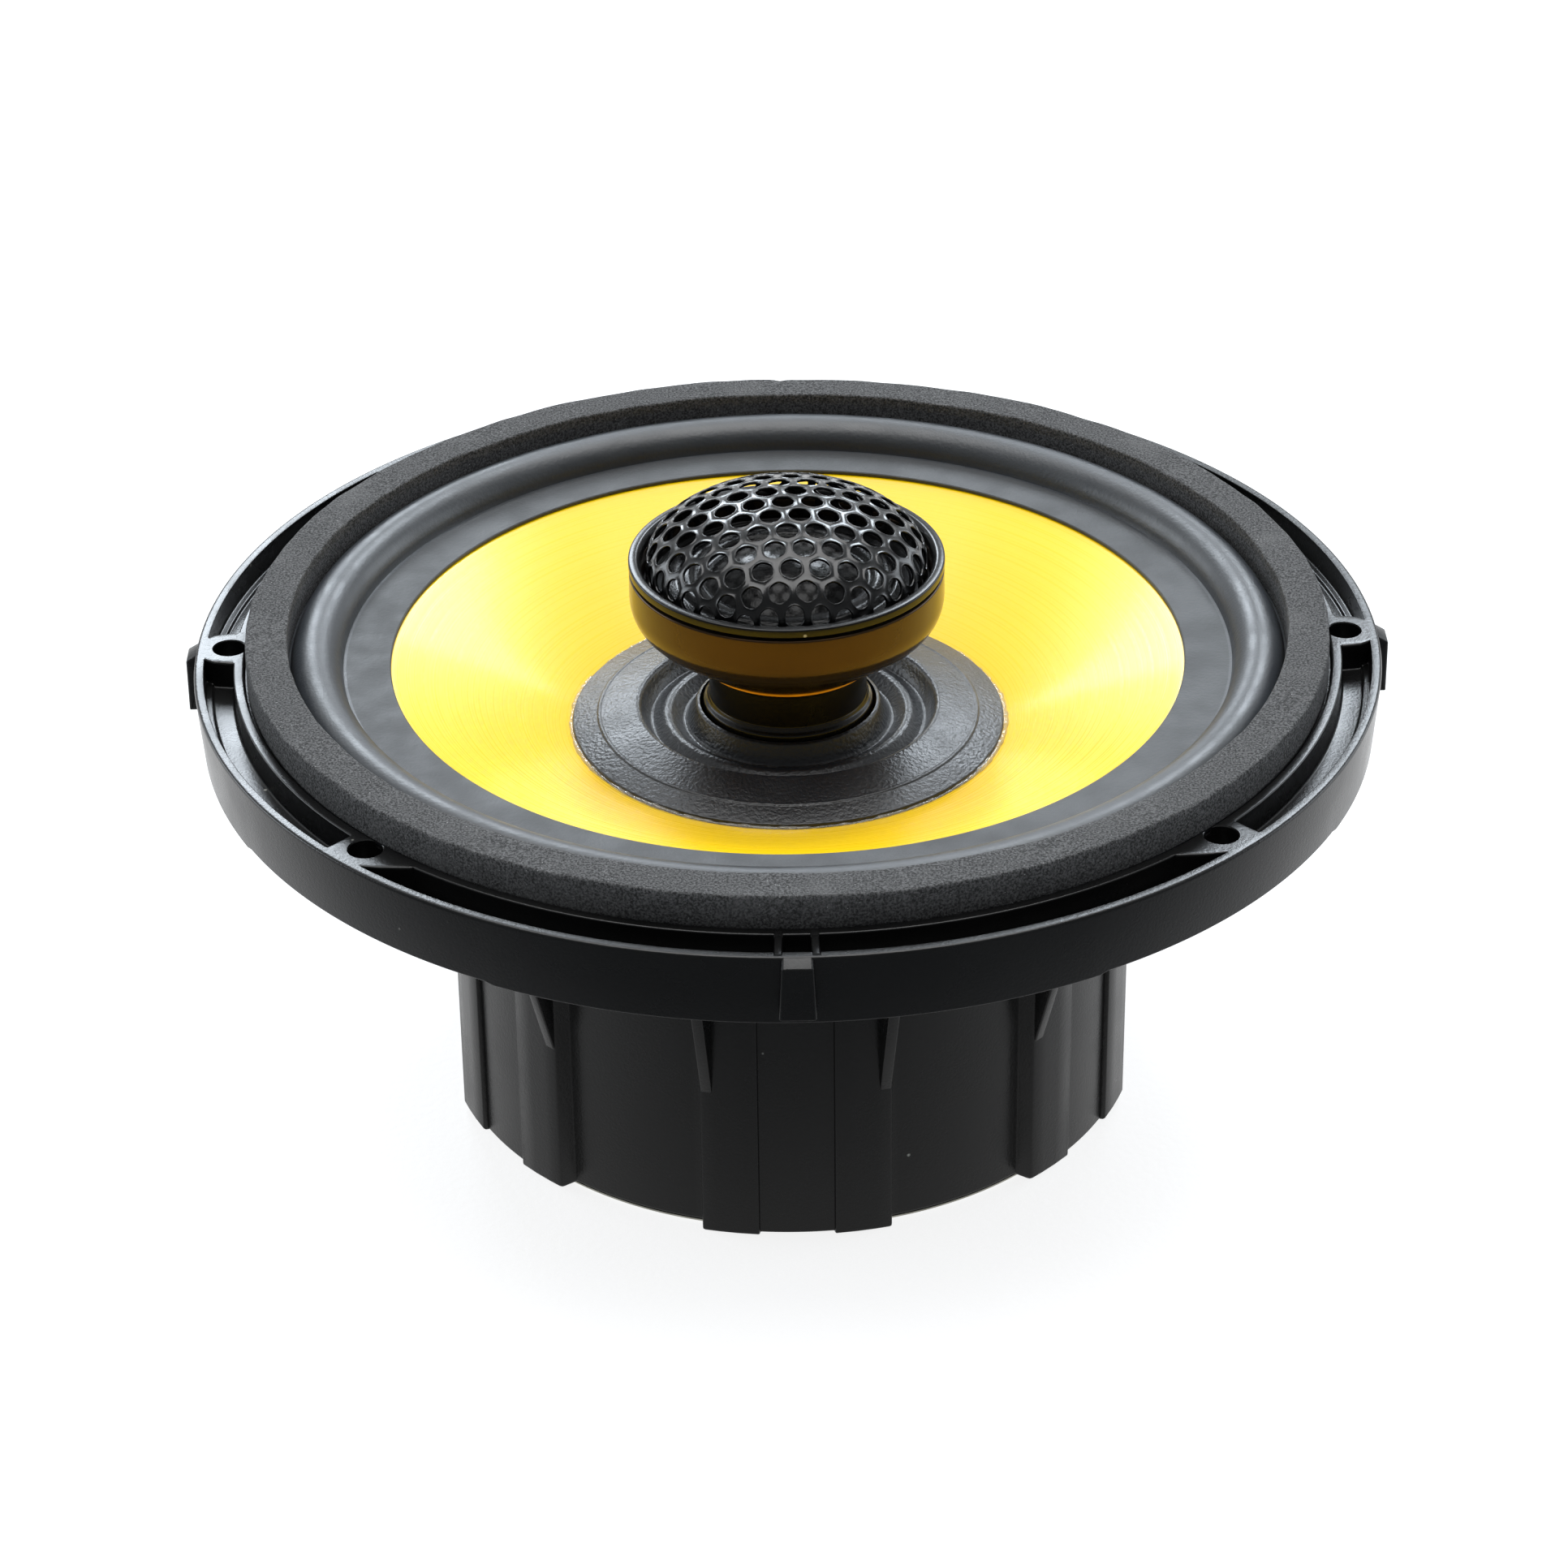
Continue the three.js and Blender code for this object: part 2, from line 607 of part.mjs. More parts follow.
function frameScrew(degrees) {
  const [x, y] = polar(SCREW_PCR, degrees);
  const headBottom = basketFloorTop + GLUE;
  const head = cylinder(SCREW_HEAD_R, headBottom, headBottom + SCREW_HEAD_T, x, y, 2 * TINY);
  const shank = cylinder(SCREW_R, headBottom - SCREW_LENGTH + FLOOR_T, headBottom + 0.2, x, y, TINY);
  const slot = block(x - 0.5, y - 2.4, headBottom + SCREW_HEAD_T - 0.8, x + 0.5, y + 2.4, headBottom + 5);
  const cross = block(x - 2.4, y - 0.5, headBottom + SCREW_HEAD_T - 0.8, x + 2.4, y + 0.5, headBottom + 5);
  return carve([head, shank], [slot, cross]);
}

addPart('basket', basket(), plastic());
addPart('rear_cover_plate', turned([[COVER_HOLE_R, 0], [COVER_R, 0], [COVER_R, COVER_T],
  [COVER_HOLE_R, COVER_T]]), zincSteel());
addPart('t_yoke', yoke(), zincSteel());
addPart('magnet_ring', turned([[MAGNET_BORE_R, magnetBottom], [MOTOR_R, magnetBottom],
  [MOTOR_R, magnetTop], [MAGNET_BORE_R, magnetTop]]), ferrite());
addPart('top_plate', topPlate(), zincSteel());
SCREW_ANGLES.forEach((degrees, i) => addPart(`basket_screw_${i + 1}`, frameScrew(degrees), zincSteel()));

// ---------------------------------------------------------------- woofer diaphragm

/** Lip, half roll and inner lip of the surround, as one upper line. */
function surroundOutline() {
  const outerZ = seatZ + GLUE + LIP_T;
  const innerZ = coneEdgeZ + GLUE + LIP_T;
  const middle = (ROLL_OUTER_R + ROLL_INNER_R) / 2;
  const half = (ROLL_OUTER_R - ROLL_INNER_R) / 2;
  const upper = [[GASKET_OUTER_R - 0.2, outerZ]];
  const steps = 5;
  for (let i = 0; i <= steps; i += 1) {
    const a = (Math.PI * i) / steps;
    const base = outerZ + ((innerZ - outerZ) * i) / steps;
    upper.push([middle + half * Math.cos(a), base + half * Math.sin(a)]);
  }
  upper.push([CONE_EDGE_R, innerZ]);
  const lower = [[CONE_EDGE_R, innerZ - LIP_T]];
  for (let i = steps; i >= 0; i -= 1) {
    const a = (Math.PI * i) / steps;
    const base = outerZ + ((innerZ - outerZ) * i) / steps - LIP_T;
    lower.push([middle + (half - LIP_T) * Math.cos(a), base + half * Math.sin(a)]);
  }
  lower.push([GASKET_OUTER_R - 0.2, outerZ - LIP_T]);
  return [...upper, ...lower];
}

function coneOutline() {
  const neckBottom = coneZ(neckR) - NECK_LENGTH;
  return [
    [neckR, neckBottom],
    [neckR + CONE_T, neckBottom],
    [neckR + CONE_T, coneZ(neckR) - CONE_T],
    [CONE_EDGE_R, coneEdgeZ - CONE_T],
    [CONE_RIM_R, coneEdgeZ - CONE_T],
    [CONE_RIM_R, coneEdgeZ],
    [CONE_EDGE_R, coneEdgeZ],
    [neckR, coneZ(neckR)],
  ];
}

/** Upper line of the dust seal: wide slope, groove, roll, groove and collar. */
function sealUpper() {
  const edgeZ = coneZ(SEAL_OUTER_R) + GLUE + SEAL_T;
  const stepZ = edgeZ + (SEAL_OUTER_R - SEAL_STEP_R) * SEAL_RISE;
  const grooveZ = stepZ - SEAL_GROOVE_DEPTH;
  const upper = [[SEAL_OUTER_R, edgeZ], [SEAL_STEP_R, stepZ], [SEAL_STEP_R - 0.9, stepZ - 1.6]];
  const grooveR = SEAL_STEP_R - 1.5;
  const innerGrooveR = SEAL_COLLAR_R + 2.2;
  const steps = 6;
  for (let i = 0; i <= steps; i += 1) {
    const r = grooveR + ((innerGrooveR - grooveR) * i) / steps;
    upper.push([r, grooveZ + 1.5 * Math.sin((Math.PI * i) / steps) ** 2]);
  }
  upper.push([SEAL_COLLAR_R + 0.2, stepZ + 0.2]);
  upper.push([SEAL_COLLAR_R - 0.2, stepZ + 0.2]);
  return upper;
}

/** Upper line of the corrugated spider between former and ledge. */
function spiderUpper() {
  const lipZ = ledgeTop + GLUE + SPIDER_T;
  const inner = formerOuterR + FIT;
  const upper = [[LEDGE_OUTER_R - 0.6, lipZ], [LEDGE_INNER_R, lipZ]];
  const steps = SPIDER_ROLLS * 4;
  for (let i = 1; i < steps; i += 1) {
    const r = LEDGE_INNER_R + ((inner + 1.2 - LEDGE_INNER_R) * i) / steps;
    upper.push([r, lipZ + SPIDER_WAVE * Math.sin((2 * Math.PI * SPIDER_ROLLS * i) / steps)]);
  }
  upper.push([inner + 1.2, lipZ], [inner, lipZ]);
  return upper;
}

const formerTop = coneZ(neckR) + FORMER_RISE;
const formerBottom = coilCentre - WINDING_LENGTH / 2 - FORMER_TAIL;

addPart('foam_gasket', turned([[GASKET_INNER_R, seatZ + LIP_T + 2 * GLUE],
  [GASKET_OUTER_R, seatZ + LIP_T + 2 * GLUE], [GASKET_OUTER_R, seatZ + LIP_T + 2 * GLUE + GASKET_T],
  [GASKET_INNER_R, seatZ + LIP_T + 2 * GLUE + GASKET_T]]), foam());
addPart('surround', turned(surroundOutline()), rubber());
addPart('cone', turned(coneOutline()), coneFilm());
addPart('dust_seal_ring', turned(sheet(sealUpper(), SEAL_T), SMALL), rubber());
addPart('spider', turned(sheet(spiderUpper(), SPIDER_T), SMALL), finish('#b9a75c', 0.85));
addPart('voice_coil_former', turned([[formerR, formerBottom],
  [formerOuterR, formerBottom], [formerOuterR, formerTop], [formerR, formerTop]], MEDIUM),
kapton());
addPart('voice_coil_winding', turned([[formerOuterR + WINDING_FIT, coilCentre - WINDING_LENGTH / 2],
  [windingR, coilCentre - WINDING_LENGTH / 2], [windingR, coilCentre + WINDING_LENGTH / 2],
  [formerOuterR + WINDING_FIT, coilCentre + WINDING_LENGTH / 2]], MEDIUM), copper());

// ---------------------------------------------------------------- stem

const rodBottom = yokeBottom + CABLE_GROOVE_DEPTH - 0.2;
const stemBottom = poleTop + GLUE;
const stemTop = headBottom - GLUE;

addPart('stem', turned([
  [STEM_BORE_R, rodBottom],
  [STEM_ROD_R, rodBottom],
  [STEM_ROD_R, stemBottom],
  [STEM_FOOT_R - 0.1, stemBottom],
  [STEM_FOOT_R - 0.1, stemFootTop - STEM_FOOT_T],
  [STEM_FOOT_R, stemFootTop - STEM_FOOT_T],
  [STEM_FOOT_R, stemFootTop - 0.3],
  [STEM_R, stemFootTop],
  [STEM_R, stemTop],
  [SPIGOT_R, stemTop],
  [SPIGOT_R, stemTop + SPIGOT_T],
  [STEM_BORE_R, stemTop + SPIGOT_T],
], SMALL), plastic());
addPart('stem_washer', turned([[STEM_ROD_R + FIT, nutTop + GLUE], [WASHER_R, nutTop + GLUE],
  [WASHER_R, nutTop + WASHER_T], [STEM_ROD_R + FIT, nutTop + WASHER_T]], SMALL), zincSteel());
addPart('stem_nut', carve([cylinder(NUT_R, nutTop - NUT_T, nutTop, 0, 0, 6)],
  [cylinder(STEM_ROD_R + GLUE, 0, nutTop + 1, 0, 0, MEDIUM)]), zincSteel());

// ---------------------------------------------------------------- tweeter

function headCup() {
  const innerR = HEAD_R - HEAD_WALL;
  return turned([
    [SPIGOT_R + FIT, headBottom],
    [HEAD_FOOT_R, headBottom],
    [HEAD_R - 0.6, headShoulder - 0.3],
    [HEAD_R, headShoulder + 0.7],
    [HEAD_R, bandTop],
    [innerR, bandTop],
    [innerR, headShoulder + 0.8],
    [HEAD_FOOT_R + 1.2, headBottom + HEAD_FLOOR + 0.6],
    [HEAD_FOOT_R, headBottom + HEAD_FLOOR],
    [SPIGOT_R + FIT, headBottom + HEAD_FLOOR],
  ], MEDIUM);
}

/** Ring that closes the head and holds the grille's foot. */
function bezelOutline() {
  const foot = bandTop + BEZEL_GAP;
  return [
    [grilleR + FIT, foot],
    [HEAD_R, foot],
    [HEAD_R, bezelTop - BEZEL_EDGE],
    [HEAD_R - BEZEL_EDGE, bezelTop],
    [grilleR + FIT + 2 * BEZEL_EDGE, bezelTop],
    [grilleR + FIT, bezelTop - 2 * BEZEL_EDGE],
  ];
}

/** Radius and height on the grille's outer face, at a distance along it from the top. */
function grillePoint(distance) {
  const rise = grilleTop - grilleFoot - GRILLE_SKIRT;
  const sphere = (grilleR ** 2 + rise ** 2) / (2 * rise);
  const angle = distance / sphere;
  return { r: sphere * Math.sin(angle), z: grilleTop - sphere * (1 - Math.cos(angle)), angle, sphere };
}

function grille() {
  const { sphere } = grillePoint(0);
  const rimAngle = Math.asin(grilleR / sphere);
  const outer = [];
  const inner = [];
  const steps = 3;
  for (let i = 0; i <= steps; i += 1) {
    const angle = (rimAngle * i) / steps;
    const centre = grilleTop - sphere;
    outer.push([sphere * Math.sin(angle), centre + sphere * Math.cos(angle)]);
    const innerAngle = Math.asin((grilleR - GRILLE_T) / (sphere - GRILLE_T)) * (i / steps);
    const lining = sphere - GRILLE_T;
    inner.push([lining * Math.sin(innerAngle), centre + lining * Math.cos(innerAngle)]);
  }
  const shell = turned([...outer, [grilleR, grilleFoot], [grilleR - GRILLE_T, grilleFoot],
    ...inner.reverse()], GRILLE_FACETS);
  const holes = [];
  const rowHeight = (GRILLE_PITCH * Math.sqrt(3)) / 2;
  for (let row = -GRILLE_RINGS; row <= GRILLE_RINGS; row += 1) {
    const count = 2 * GRILLE_RINGS + 1 - Math.abs(row);
    for (let i = 0; i < count; i += 1) {
      const u = (i - (count - 1) / 2) * GRILLE_PITCH;
      const v = row * rowHeight;
      const { angle } = grillePoint(Math.hypot(u, v));
      const hole = new THREE.CylinderGeometry(GRILLE_HOLE_R, GRILLE_HOLE_R, 4, 6);
      hole.rotateX(Math.PI / 2);
      hole.translate(0, 0, sphere);
      hole.rotateY(angle);
      hole.rotateZ(Math.atan2(v, u));
      hole.translate(0, 0, grilleTop - sphere);
      holes.push(hole);
    }
  }
  return carve([shell], holes);
}

/** Thin spherical cap of the tweeter dome, standing on its former. */
function domeOutline() {
  const foot = tweeterFormerTop + GLUE;
  const edge = TWEETER_FORMER_R + TWEETER_FORMER_WALL;
  const sphere = (edge ** 2 + DOME_HEIGHT ** 2) / (2 * DOME_HEIGHT);
  const upper = [];
  const steps = 5;
  for (let i = 0; i <= steps; i += 1) {
    const angle = Math.asin(edge / sphere) * (1 - i / steps);
    upper.push([sphere * Math.sin(angle), foot + DOME_T + DOME_HEIGHT - sphere * (1 - Math.cos(angle))]);
  }
  return sheet(upper, DOME_T);
}

const tweeterFormerTop = faceplateTop;
const tweeterFormerBottom = tweeterFormerTop - TWEETER_FORMER_LENGTH;
const tweeterFormerOuter = TWEETER_FORMER_R + TWEETER_FORMER_WALL;
const tweeterCoilZ = potTop - TWEETER_PLATE_T / 2;

addPart('tweeter_cup', headCup(), finish('#141414', 0.28));
addPart('tweeter_bezel', turned(bezelOutline(), MEDIUM), finish('#161616', 0.3));
addPart('tweeter_grille', grille(), finish('#101112', 0.25, 0.6));
addPart('tweeter_pot', turned([[0, potBottom], [POT_R, potBottom], [POT_R, potTop],
  [POT_R - POT_WALL, potTop], [POT_R - POT_WALL, potBottom + POT_FLOOR],
  [0, potBottom + POT_FLOOR]], SMALL),
zincSteel());
addPart('tweeter_magnet', cylinder(TWEETER_MAGNET_R, potBottom + POT_FLOOR + GLUE,
  potTop - TWEETER_PLATE_T - GLUE), finish('#8d8f92', 0.3, 1));
addPart('tweeter_pole_plate', cylinder(TWEETER_PLATE_R, potTop - TWEETER_PLATE_T, potTop), zincSteel());
addPart('tweeter_faceplate', turned([[FACEPLATE_BORE_R, faceplateBottom],
  [faceplateR, faceplateBottom], [faceplateR, faceplateTop],
  [FACEPLATE_BORE_R + FACEPLATE_FLARE, faceplateTop],
  [FACEPLATE_BORE_R, faceplateBottom + FACEPLATE_THROAT]], MEDIUM),
plastic());
addPart('tweeter_former', turned([[TWEETER_FORMER_R, tweeterFormerBottom],
  [tweeterFormerOuter, tweeterFormerBottom], [tweeterFormerOuter, tweeterFormerTop],
  [TWEETER_FORMER_R, tweeterFormerTop]], SMALL), kapton());
addPart('tweeter_coil', turned([[tweeterFormerOuter + WINDING_FIT, tweeterCoilZ - TWEETER_COIL_LENGTH / 2],
  [tweeterFormerOuter + WINDING_FIT + TWEETER_COIL_T, tweeterCoilZ - TWEETER_COIL_LENGTH / 2],
  [tweeterFormerOuter + WINDING_FIT + TWEETER_COIL_T, tweeterCoilZ + TWEETER_COIL_LENGTH / 2],
  [tweeterFormerOuter + WINDING_FIT, tweeterCoilZ + TWEETER_COIL_LENGTH / 2]], SMALL), copper());
addPart('tweeter_dome', turned(domeOutline(), SMALL), finish('#26272b', 0.3));

/** Half roll between the dome's edge and the faceplate. */
function domeRollOutline() {
  const foot = tweeterFormerTop + GLUE;
  const inner = tweeterFormerOuter + GLUE;
  const outer = FACEPLATE_BORE_R + FACEPLATE_FLARE;
  const middle = (inner + outer) / 2;
  const half = (outer - inner) / 2;
  const thickness = DOME_T;
  const upper = [[outer + 1.6, foot + thickness]];
  const steps = 4;
  for (let i = 0; i <= steps; i += 1) {
    const a = (Math.PI * i) / steps;
    upper.push([middle + half * Math.cos(a), foot + thickness + 0.7 * Math.sin(a)]);
  }
  return sheet(upper, thickness);
}

addPart('tweeter_surround', turned(domeRollOutline(), SMALL), rubber());

// ---------------------------------------------------------------- terminals and leads

function terminalBoard() {
  const bottom = blockBottom + 0.8;
  const top = blockTop - 0.8;
  const face = blockFace + GLUE;
  const plate = block(-BLOCK_WIDTH / 2, face, bottom, BLOCK_WIDTH / 2, face + BOARD_T, top);
  const cuts = [];
  BLADE_WIDTHS.forEach((width, i) => {
    const x = i === 0 ? BLADE_X : -BLADE_X;
    cuts.push(block(x - BLADE_T / 2 - GLUE, face - 1, bladeZ - width / 2 - GLUE,
      x + BLADE_T / 2 + GLUE, face + BOARD_T + 1, bladeZ + width / 2 + GLUE));
  });
  for (const side of [-1, 1]) {
    const hole = cylinder(RIVET_R + FIT, -5, 5, 0, 0, TINY);
    hole.rotateX(Math.PI / 2);
    hole.translate(side * RIVET_X, face, bladeZ);
    cuts.push(hole);
  }
  return carve([plate], cuts);
}

function blade(x, width) {
  const outline = [
    [-bladeBack, bladeZ - width / 2],
    [-bladeTip + 1, bladeZ - width / 2],
    [-bladeTip, bladeZ - width / 2 + 1],
    [-bladeTip, bladeZ + width / 2 - 1],
    [-bladeTip + 1, bladeZ + width / 2],
    [-bladeBack, bladeZ + width / 2],
  ].map(([y, z]) => [-y, z]);
  const plate = prism(outline, -BLADE_T / 2, BLADE_T / 2);
  plate.rotateX(Math.PI / 2);
  plate.rotateZ(Math.PI / 2);
  plate.translate(x, 0, 0);
  return plate;
}

function rivet(side) {
  const outerFace = blockFace + GLUE + BOARD_T;
  const shank = cylinder(RIVET_R, -outerFace - 0.2, -(blockFace - 4.5), 0, 0, TINY);
  const head = cylinder(RIVET_HEAD_R, -outerFace - GLUE - RIVET_HEAD_T, -outerFace - GLUE, 0, 0, TINY);
  const body = carve([shank, head]);
  body.rotateX(Math.PI / 2);
  body.translate(side * RIVET_X, 0, bladeZ);
  return body;
}

/** Route of a tweeter lead from the faceplate, down the stem and out of the bell. */
function stemRoute(side) {
  const x = side * LEAD_OFFSET;
  const groove = yokeBottom + LEAD_R + GLUE;
  const wallY = BELL_R - BELL_WALL - LEAD_WALL_GAP - LEAD_R;
  const underPot = potBottom - 1.6;
  return [
    [side * 16.6, 0, faceplateBottom - 0.9],
    [side * 16.8, 0, faceplateBottom - 3.4],
    [side * 15.7, 0, underPot + 1.9],
    [side * 13.4, 0, underPot + 0.15],
    [side * 11, 0, underPot],
    [side * 3, 0, underPot],
    [side * 1.1, 0, underPot - 0.3],
    [x, 0, stemTop + SPIGOT_T - 0.6],
    [x, 0, stemTop - 1],
    [x, 0, nutTop + 2],
    [x, 0, rodBottom + 0.5],
    [x, 0.5, groove + 0.2],
    [x, 1.8, groove],
    [x, NUT_WELL_R, groove],
    [x, MOTOR_R - 2, groove],
    [x, yokeR + 0.2, groove + 0.3],
    [x, wallY, groove + 1.9],
    [x, wallY, groove + 5],
    [x, wallY, LEAD_EXIT - 4],
    [x, wallY + 1, LEAD_EXIT - 0.9],
    [x, BELL_R - WEB_TUCK, LEAD_EXIT],
    [x, PAD_R, LEAD_EXIT + 0.1],
  ];
}

addPart('terminal_board', terminalBoard(), finish('#6e4a24', 0.6));
addPart('terminal_positive', blade(BLADE_X, BLADE_WIDTHS[0]), brass());
addPart('terminal_negative', blade(-BLADE_X, BLADE_WIDTHS[1]), brass());
addPart('terminal_rivet_1', rivet(-1), zincSteel());
addPart('terminal_rivet_2', rivet(1), zincSteel());

const capacitorCentre = new THREE.Vector3(...polar(capacitorR, CAPACITOR_ANGLE), capacitorZ);
const along = new THREE.Vector3(...polar(1, CAPACITOR_ANGLE + 90), 0);
const capacitor = new THREE.CylinderGeometry(CAPACITOR_R, CAPACITOR_R, CAPACITOR_LENGTH, 24);
capacitor.rotateZ(Math.PI / 2);
capacitor.rotateZ(Math.atan2(along.y, along.x));
capacitor.translate(...capacitorCentre.toArray());
addPart('tweeter_capacitor', capacitor, finish('#1c2f6b', 0.4));

/** Point in line with the capacitor's axis, outside one of its ends, and lowered by a drop. */
function capacitorEnd(side, gap, drop = 0) {
  const [x, y, z] = capacitorCentre.clone().addScaledVector(along, side * (CAPACITOR_LENGTH / 2 + gap));
  return [x, y, z - drop];
}

const bladeReach = blockFace + BOARD_T + SOLDER_REACH;
const positiveEnd = capacitorEnd(-1, FIT);
addPart('tweeter_lead_positive', bar([...stemRoute(1),
  [0.8, PAD_R + 1.9, LEAD_EXIT + 0.4],
  [4, PAD_R + 2.2, LEAD_EXIT + 1.5],
  [14, 53.4, LEAD_EXIT + 4],
  [27, 46.5, LEAD_EXIT + 7],
  [39, 41.5, LEAD_EXIT + 11.5],
  capacitorEnd(-1, 6.5, 1.5),
  capacitorEnd(-1, 2.5),
  positiveEnd], LEAD_R), finish('#9c1b16', 0.5));
addPart('tweeter_lead_negative', bar([...stemRoute(-1),
  [-0.9, PAD_R + 1.9, LEAD_EXIT + 1],
  [-2.2, PAD_R + 2.6, LEAD_EXIT + 9],
  [-4, blockFace + BOARD_T + 1.6, blockBottom - 1.5],
  [-BLADE_X + 1.4, bladeReach, bladeZ - 3.5],
  [-BLADE_X + 1.3, bladeReach, bladeZ]], LEAD_R), finish('#101010', 0.5));
addPart('capacitor_lead', bar([
  capacitorEnd(1, FIT),
  capacitorEnd(1, 2.5),
  [17, blockFace + BOARD_T + 2.6, capacitorZ + 1],
  [11, bladeReach, capacitorZ + 3],
  [BLADE_X + 1.4, bladeReach, bladeZ - 1]], LEAD_R, 4), finish('#c7c7c2', 0.3, 1));

for (const [name, x] of [['tinsel_lead_positive', BLADE_X], ['tinsel_lead_negative', -BLADE_X]]) {
  const coneR = 27;
  addPart(name, bar([
    [x, bladeBack - TINSEL_R / 2, bladeZ],
    [x, bladeBack - 4, bladeZ],
    [x, 42, bladeZ - 0.8],
    [x, 33, bladeZ - 0.2],
    [x, coneR + 1.5, bladeZ + 2],
    [x, coneR, coneZ(Math.hypot(coneR, x)) - CONE_T - FIT - 0.4]], TINSEL_R, 4), copper());
}

export default speaker;
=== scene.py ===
# %% [markdown]
# # A coaxial car speaker, made in Blender round its CAD model
# The speaker has a glossy yellow woofer cone in a black moulded basket, and a small dome tweeter under a
# perforated metal cap on a stem at its centre. The CAD model holds every size and every moving body. This
# script makes the surfaces that a person sees: rounded mouldings, foam, rubber, a spun cone and drawn metal.

# %% Load the frame
import math

import bmesh
import bpy
import numpy as np
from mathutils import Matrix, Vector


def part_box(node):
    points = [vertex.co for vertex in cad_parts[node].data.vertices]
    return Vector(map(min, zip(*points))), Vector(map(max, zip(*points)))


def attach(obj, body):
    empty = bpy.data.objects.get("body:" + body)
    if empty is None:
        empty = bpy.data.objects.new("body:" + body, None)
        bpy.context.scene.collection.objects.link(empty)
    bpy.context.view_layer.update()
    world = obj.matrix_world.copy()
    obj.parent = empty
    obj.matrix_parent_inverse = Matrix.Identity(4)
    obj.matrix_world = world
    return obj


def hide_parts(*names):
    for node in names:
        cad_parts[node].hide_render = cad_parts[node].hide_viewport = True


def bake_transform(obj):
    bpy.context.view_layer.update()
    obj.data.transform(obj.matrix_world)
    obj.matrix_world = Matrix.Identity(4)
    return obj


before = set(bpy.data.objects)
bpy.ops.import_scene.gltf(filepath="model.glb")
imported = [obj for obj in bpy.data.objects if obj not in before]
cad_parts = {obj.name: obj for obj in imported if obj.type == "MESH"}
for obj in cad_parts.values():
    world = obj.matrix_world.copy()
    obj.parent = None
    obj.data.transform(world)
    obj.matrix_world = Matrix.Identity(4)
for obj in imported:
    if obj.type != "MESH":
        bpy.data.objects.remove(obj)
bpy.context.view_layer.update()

MM = 0.001
FRAME, WOOFER, TWEETER = "frame", "woofer_diaphragm", "tweeter_diaphragm"

# %% [markdown]
# ## Camera, floor and light
# The camera comes first, so that every later step can be looked at. A long lens from about 30 degrees above
# the rim gives a calm, flat perspective. The floor, made last, is a plain white sheet. To the camera it glows
# a little, and so does its far part in reflections, which keeps it white without more light on the speaker.
# In reflections its near part is dark, so the side toward the camera stays black.

# %% Camera
CAMERA_AT = (-0.005291, -0.566064, 0.377018)
CAMERA_TURN = (59.4935, 0.6045, -0.8186)     # degrees
LENS = 106.11                                # millimetres, on a 36 mm sensor

scene = bpy.context.scene
camera_data = bpy.data.cameras.new("camera")
camera_data.lens = LENS
camera_data.sensor_width = 36
camera_data.clip_start, camera_data.clip_end = 0.01, 50
camera = bpy.data.objects.new("camera", camera_data)
camera.location = CAMERA_AT
camera.rotation_euler = [math.radians(a) for a in CAMERA_TURN]
scene.collection.objects.link(camera)
scene.camera = camera
scene.view_settings.view_transform = "Standard"
print("camera at", CAMERA_AT)

# %% [markdown]
# Black glossy plastic shows what stands round it more than its own colour. So the lamps are large and soft:
# two windows at the back, to the left and the right, give the tops their bluish sheen and draw the fan-shaped
# glints on the spun cone. The side toward the camera stays dim.


# %% Lamps and world
def lamp(name, place, aim, size, power, tint):
    """A rectangular area lamp at a place, turned to aim at a point. Sizes in metres, power in watts."""
    data = bpy.data.lights.new(name, "AREA")
    data.shape = "RECTANGLE"
    data.size, data.size_y = size
    data.energy = power
    data.color = tint
    obj = bpy.data.objects.new(name, data)
    obj.location = place
    direction = np.array(aim) - np.array(place)
    flat = math.hypot(direction[0], direction[1])
    obj.rotation_euler = (math.atan2(flat, -direction[2]), 0,
                          math.atan2(direction[1], direction[0]) - math.pi / 2)
    scene.collection.objects.link(obj)
    return obj


AIM = (0, 0, 0.06)


def around(azimuth, elevation, distance):
    """Place at an angle round from straight back (to the right) and above the horizon."""
    a, e = math.radians(azimuth), math.radians(elevation)
    return (distance * math.sin(a) * math.cos(e), distance * math.cos(a) * math.cos(e),
            distance * math.sin(e) + AIM[2])


lamp("window_left", around(-13, 29, 1.8), AIM, (0.42, 0.5), 10, (0.84, 0.92, 1.0))
lamp("window_right", around(18, 37, 1.8), AIM, (0.40, 0.6), 11, (0.84, 0.92, 1.0))
lamp("side_left", around(-70, 14, 1.7), AIM, (1.3, 0.7), 9, (0.86, 0.93, 1.0))
lamp("side_right", around(66, 14, 1.7), AIM, (1.3, 0.7), 7, (0.86, 0.93, 1.0))
lamp("top_fill", (0, 0.1, 1.6), AIM, (1.4, 1.4), 22, (1, 1, 1))

# %% [markdown]
# A picture of a studio could stand round the scene, but a plain gradient is enough, and needs no file. It is
# brighter toward the back, so that the near sides of the black pieces stay black.

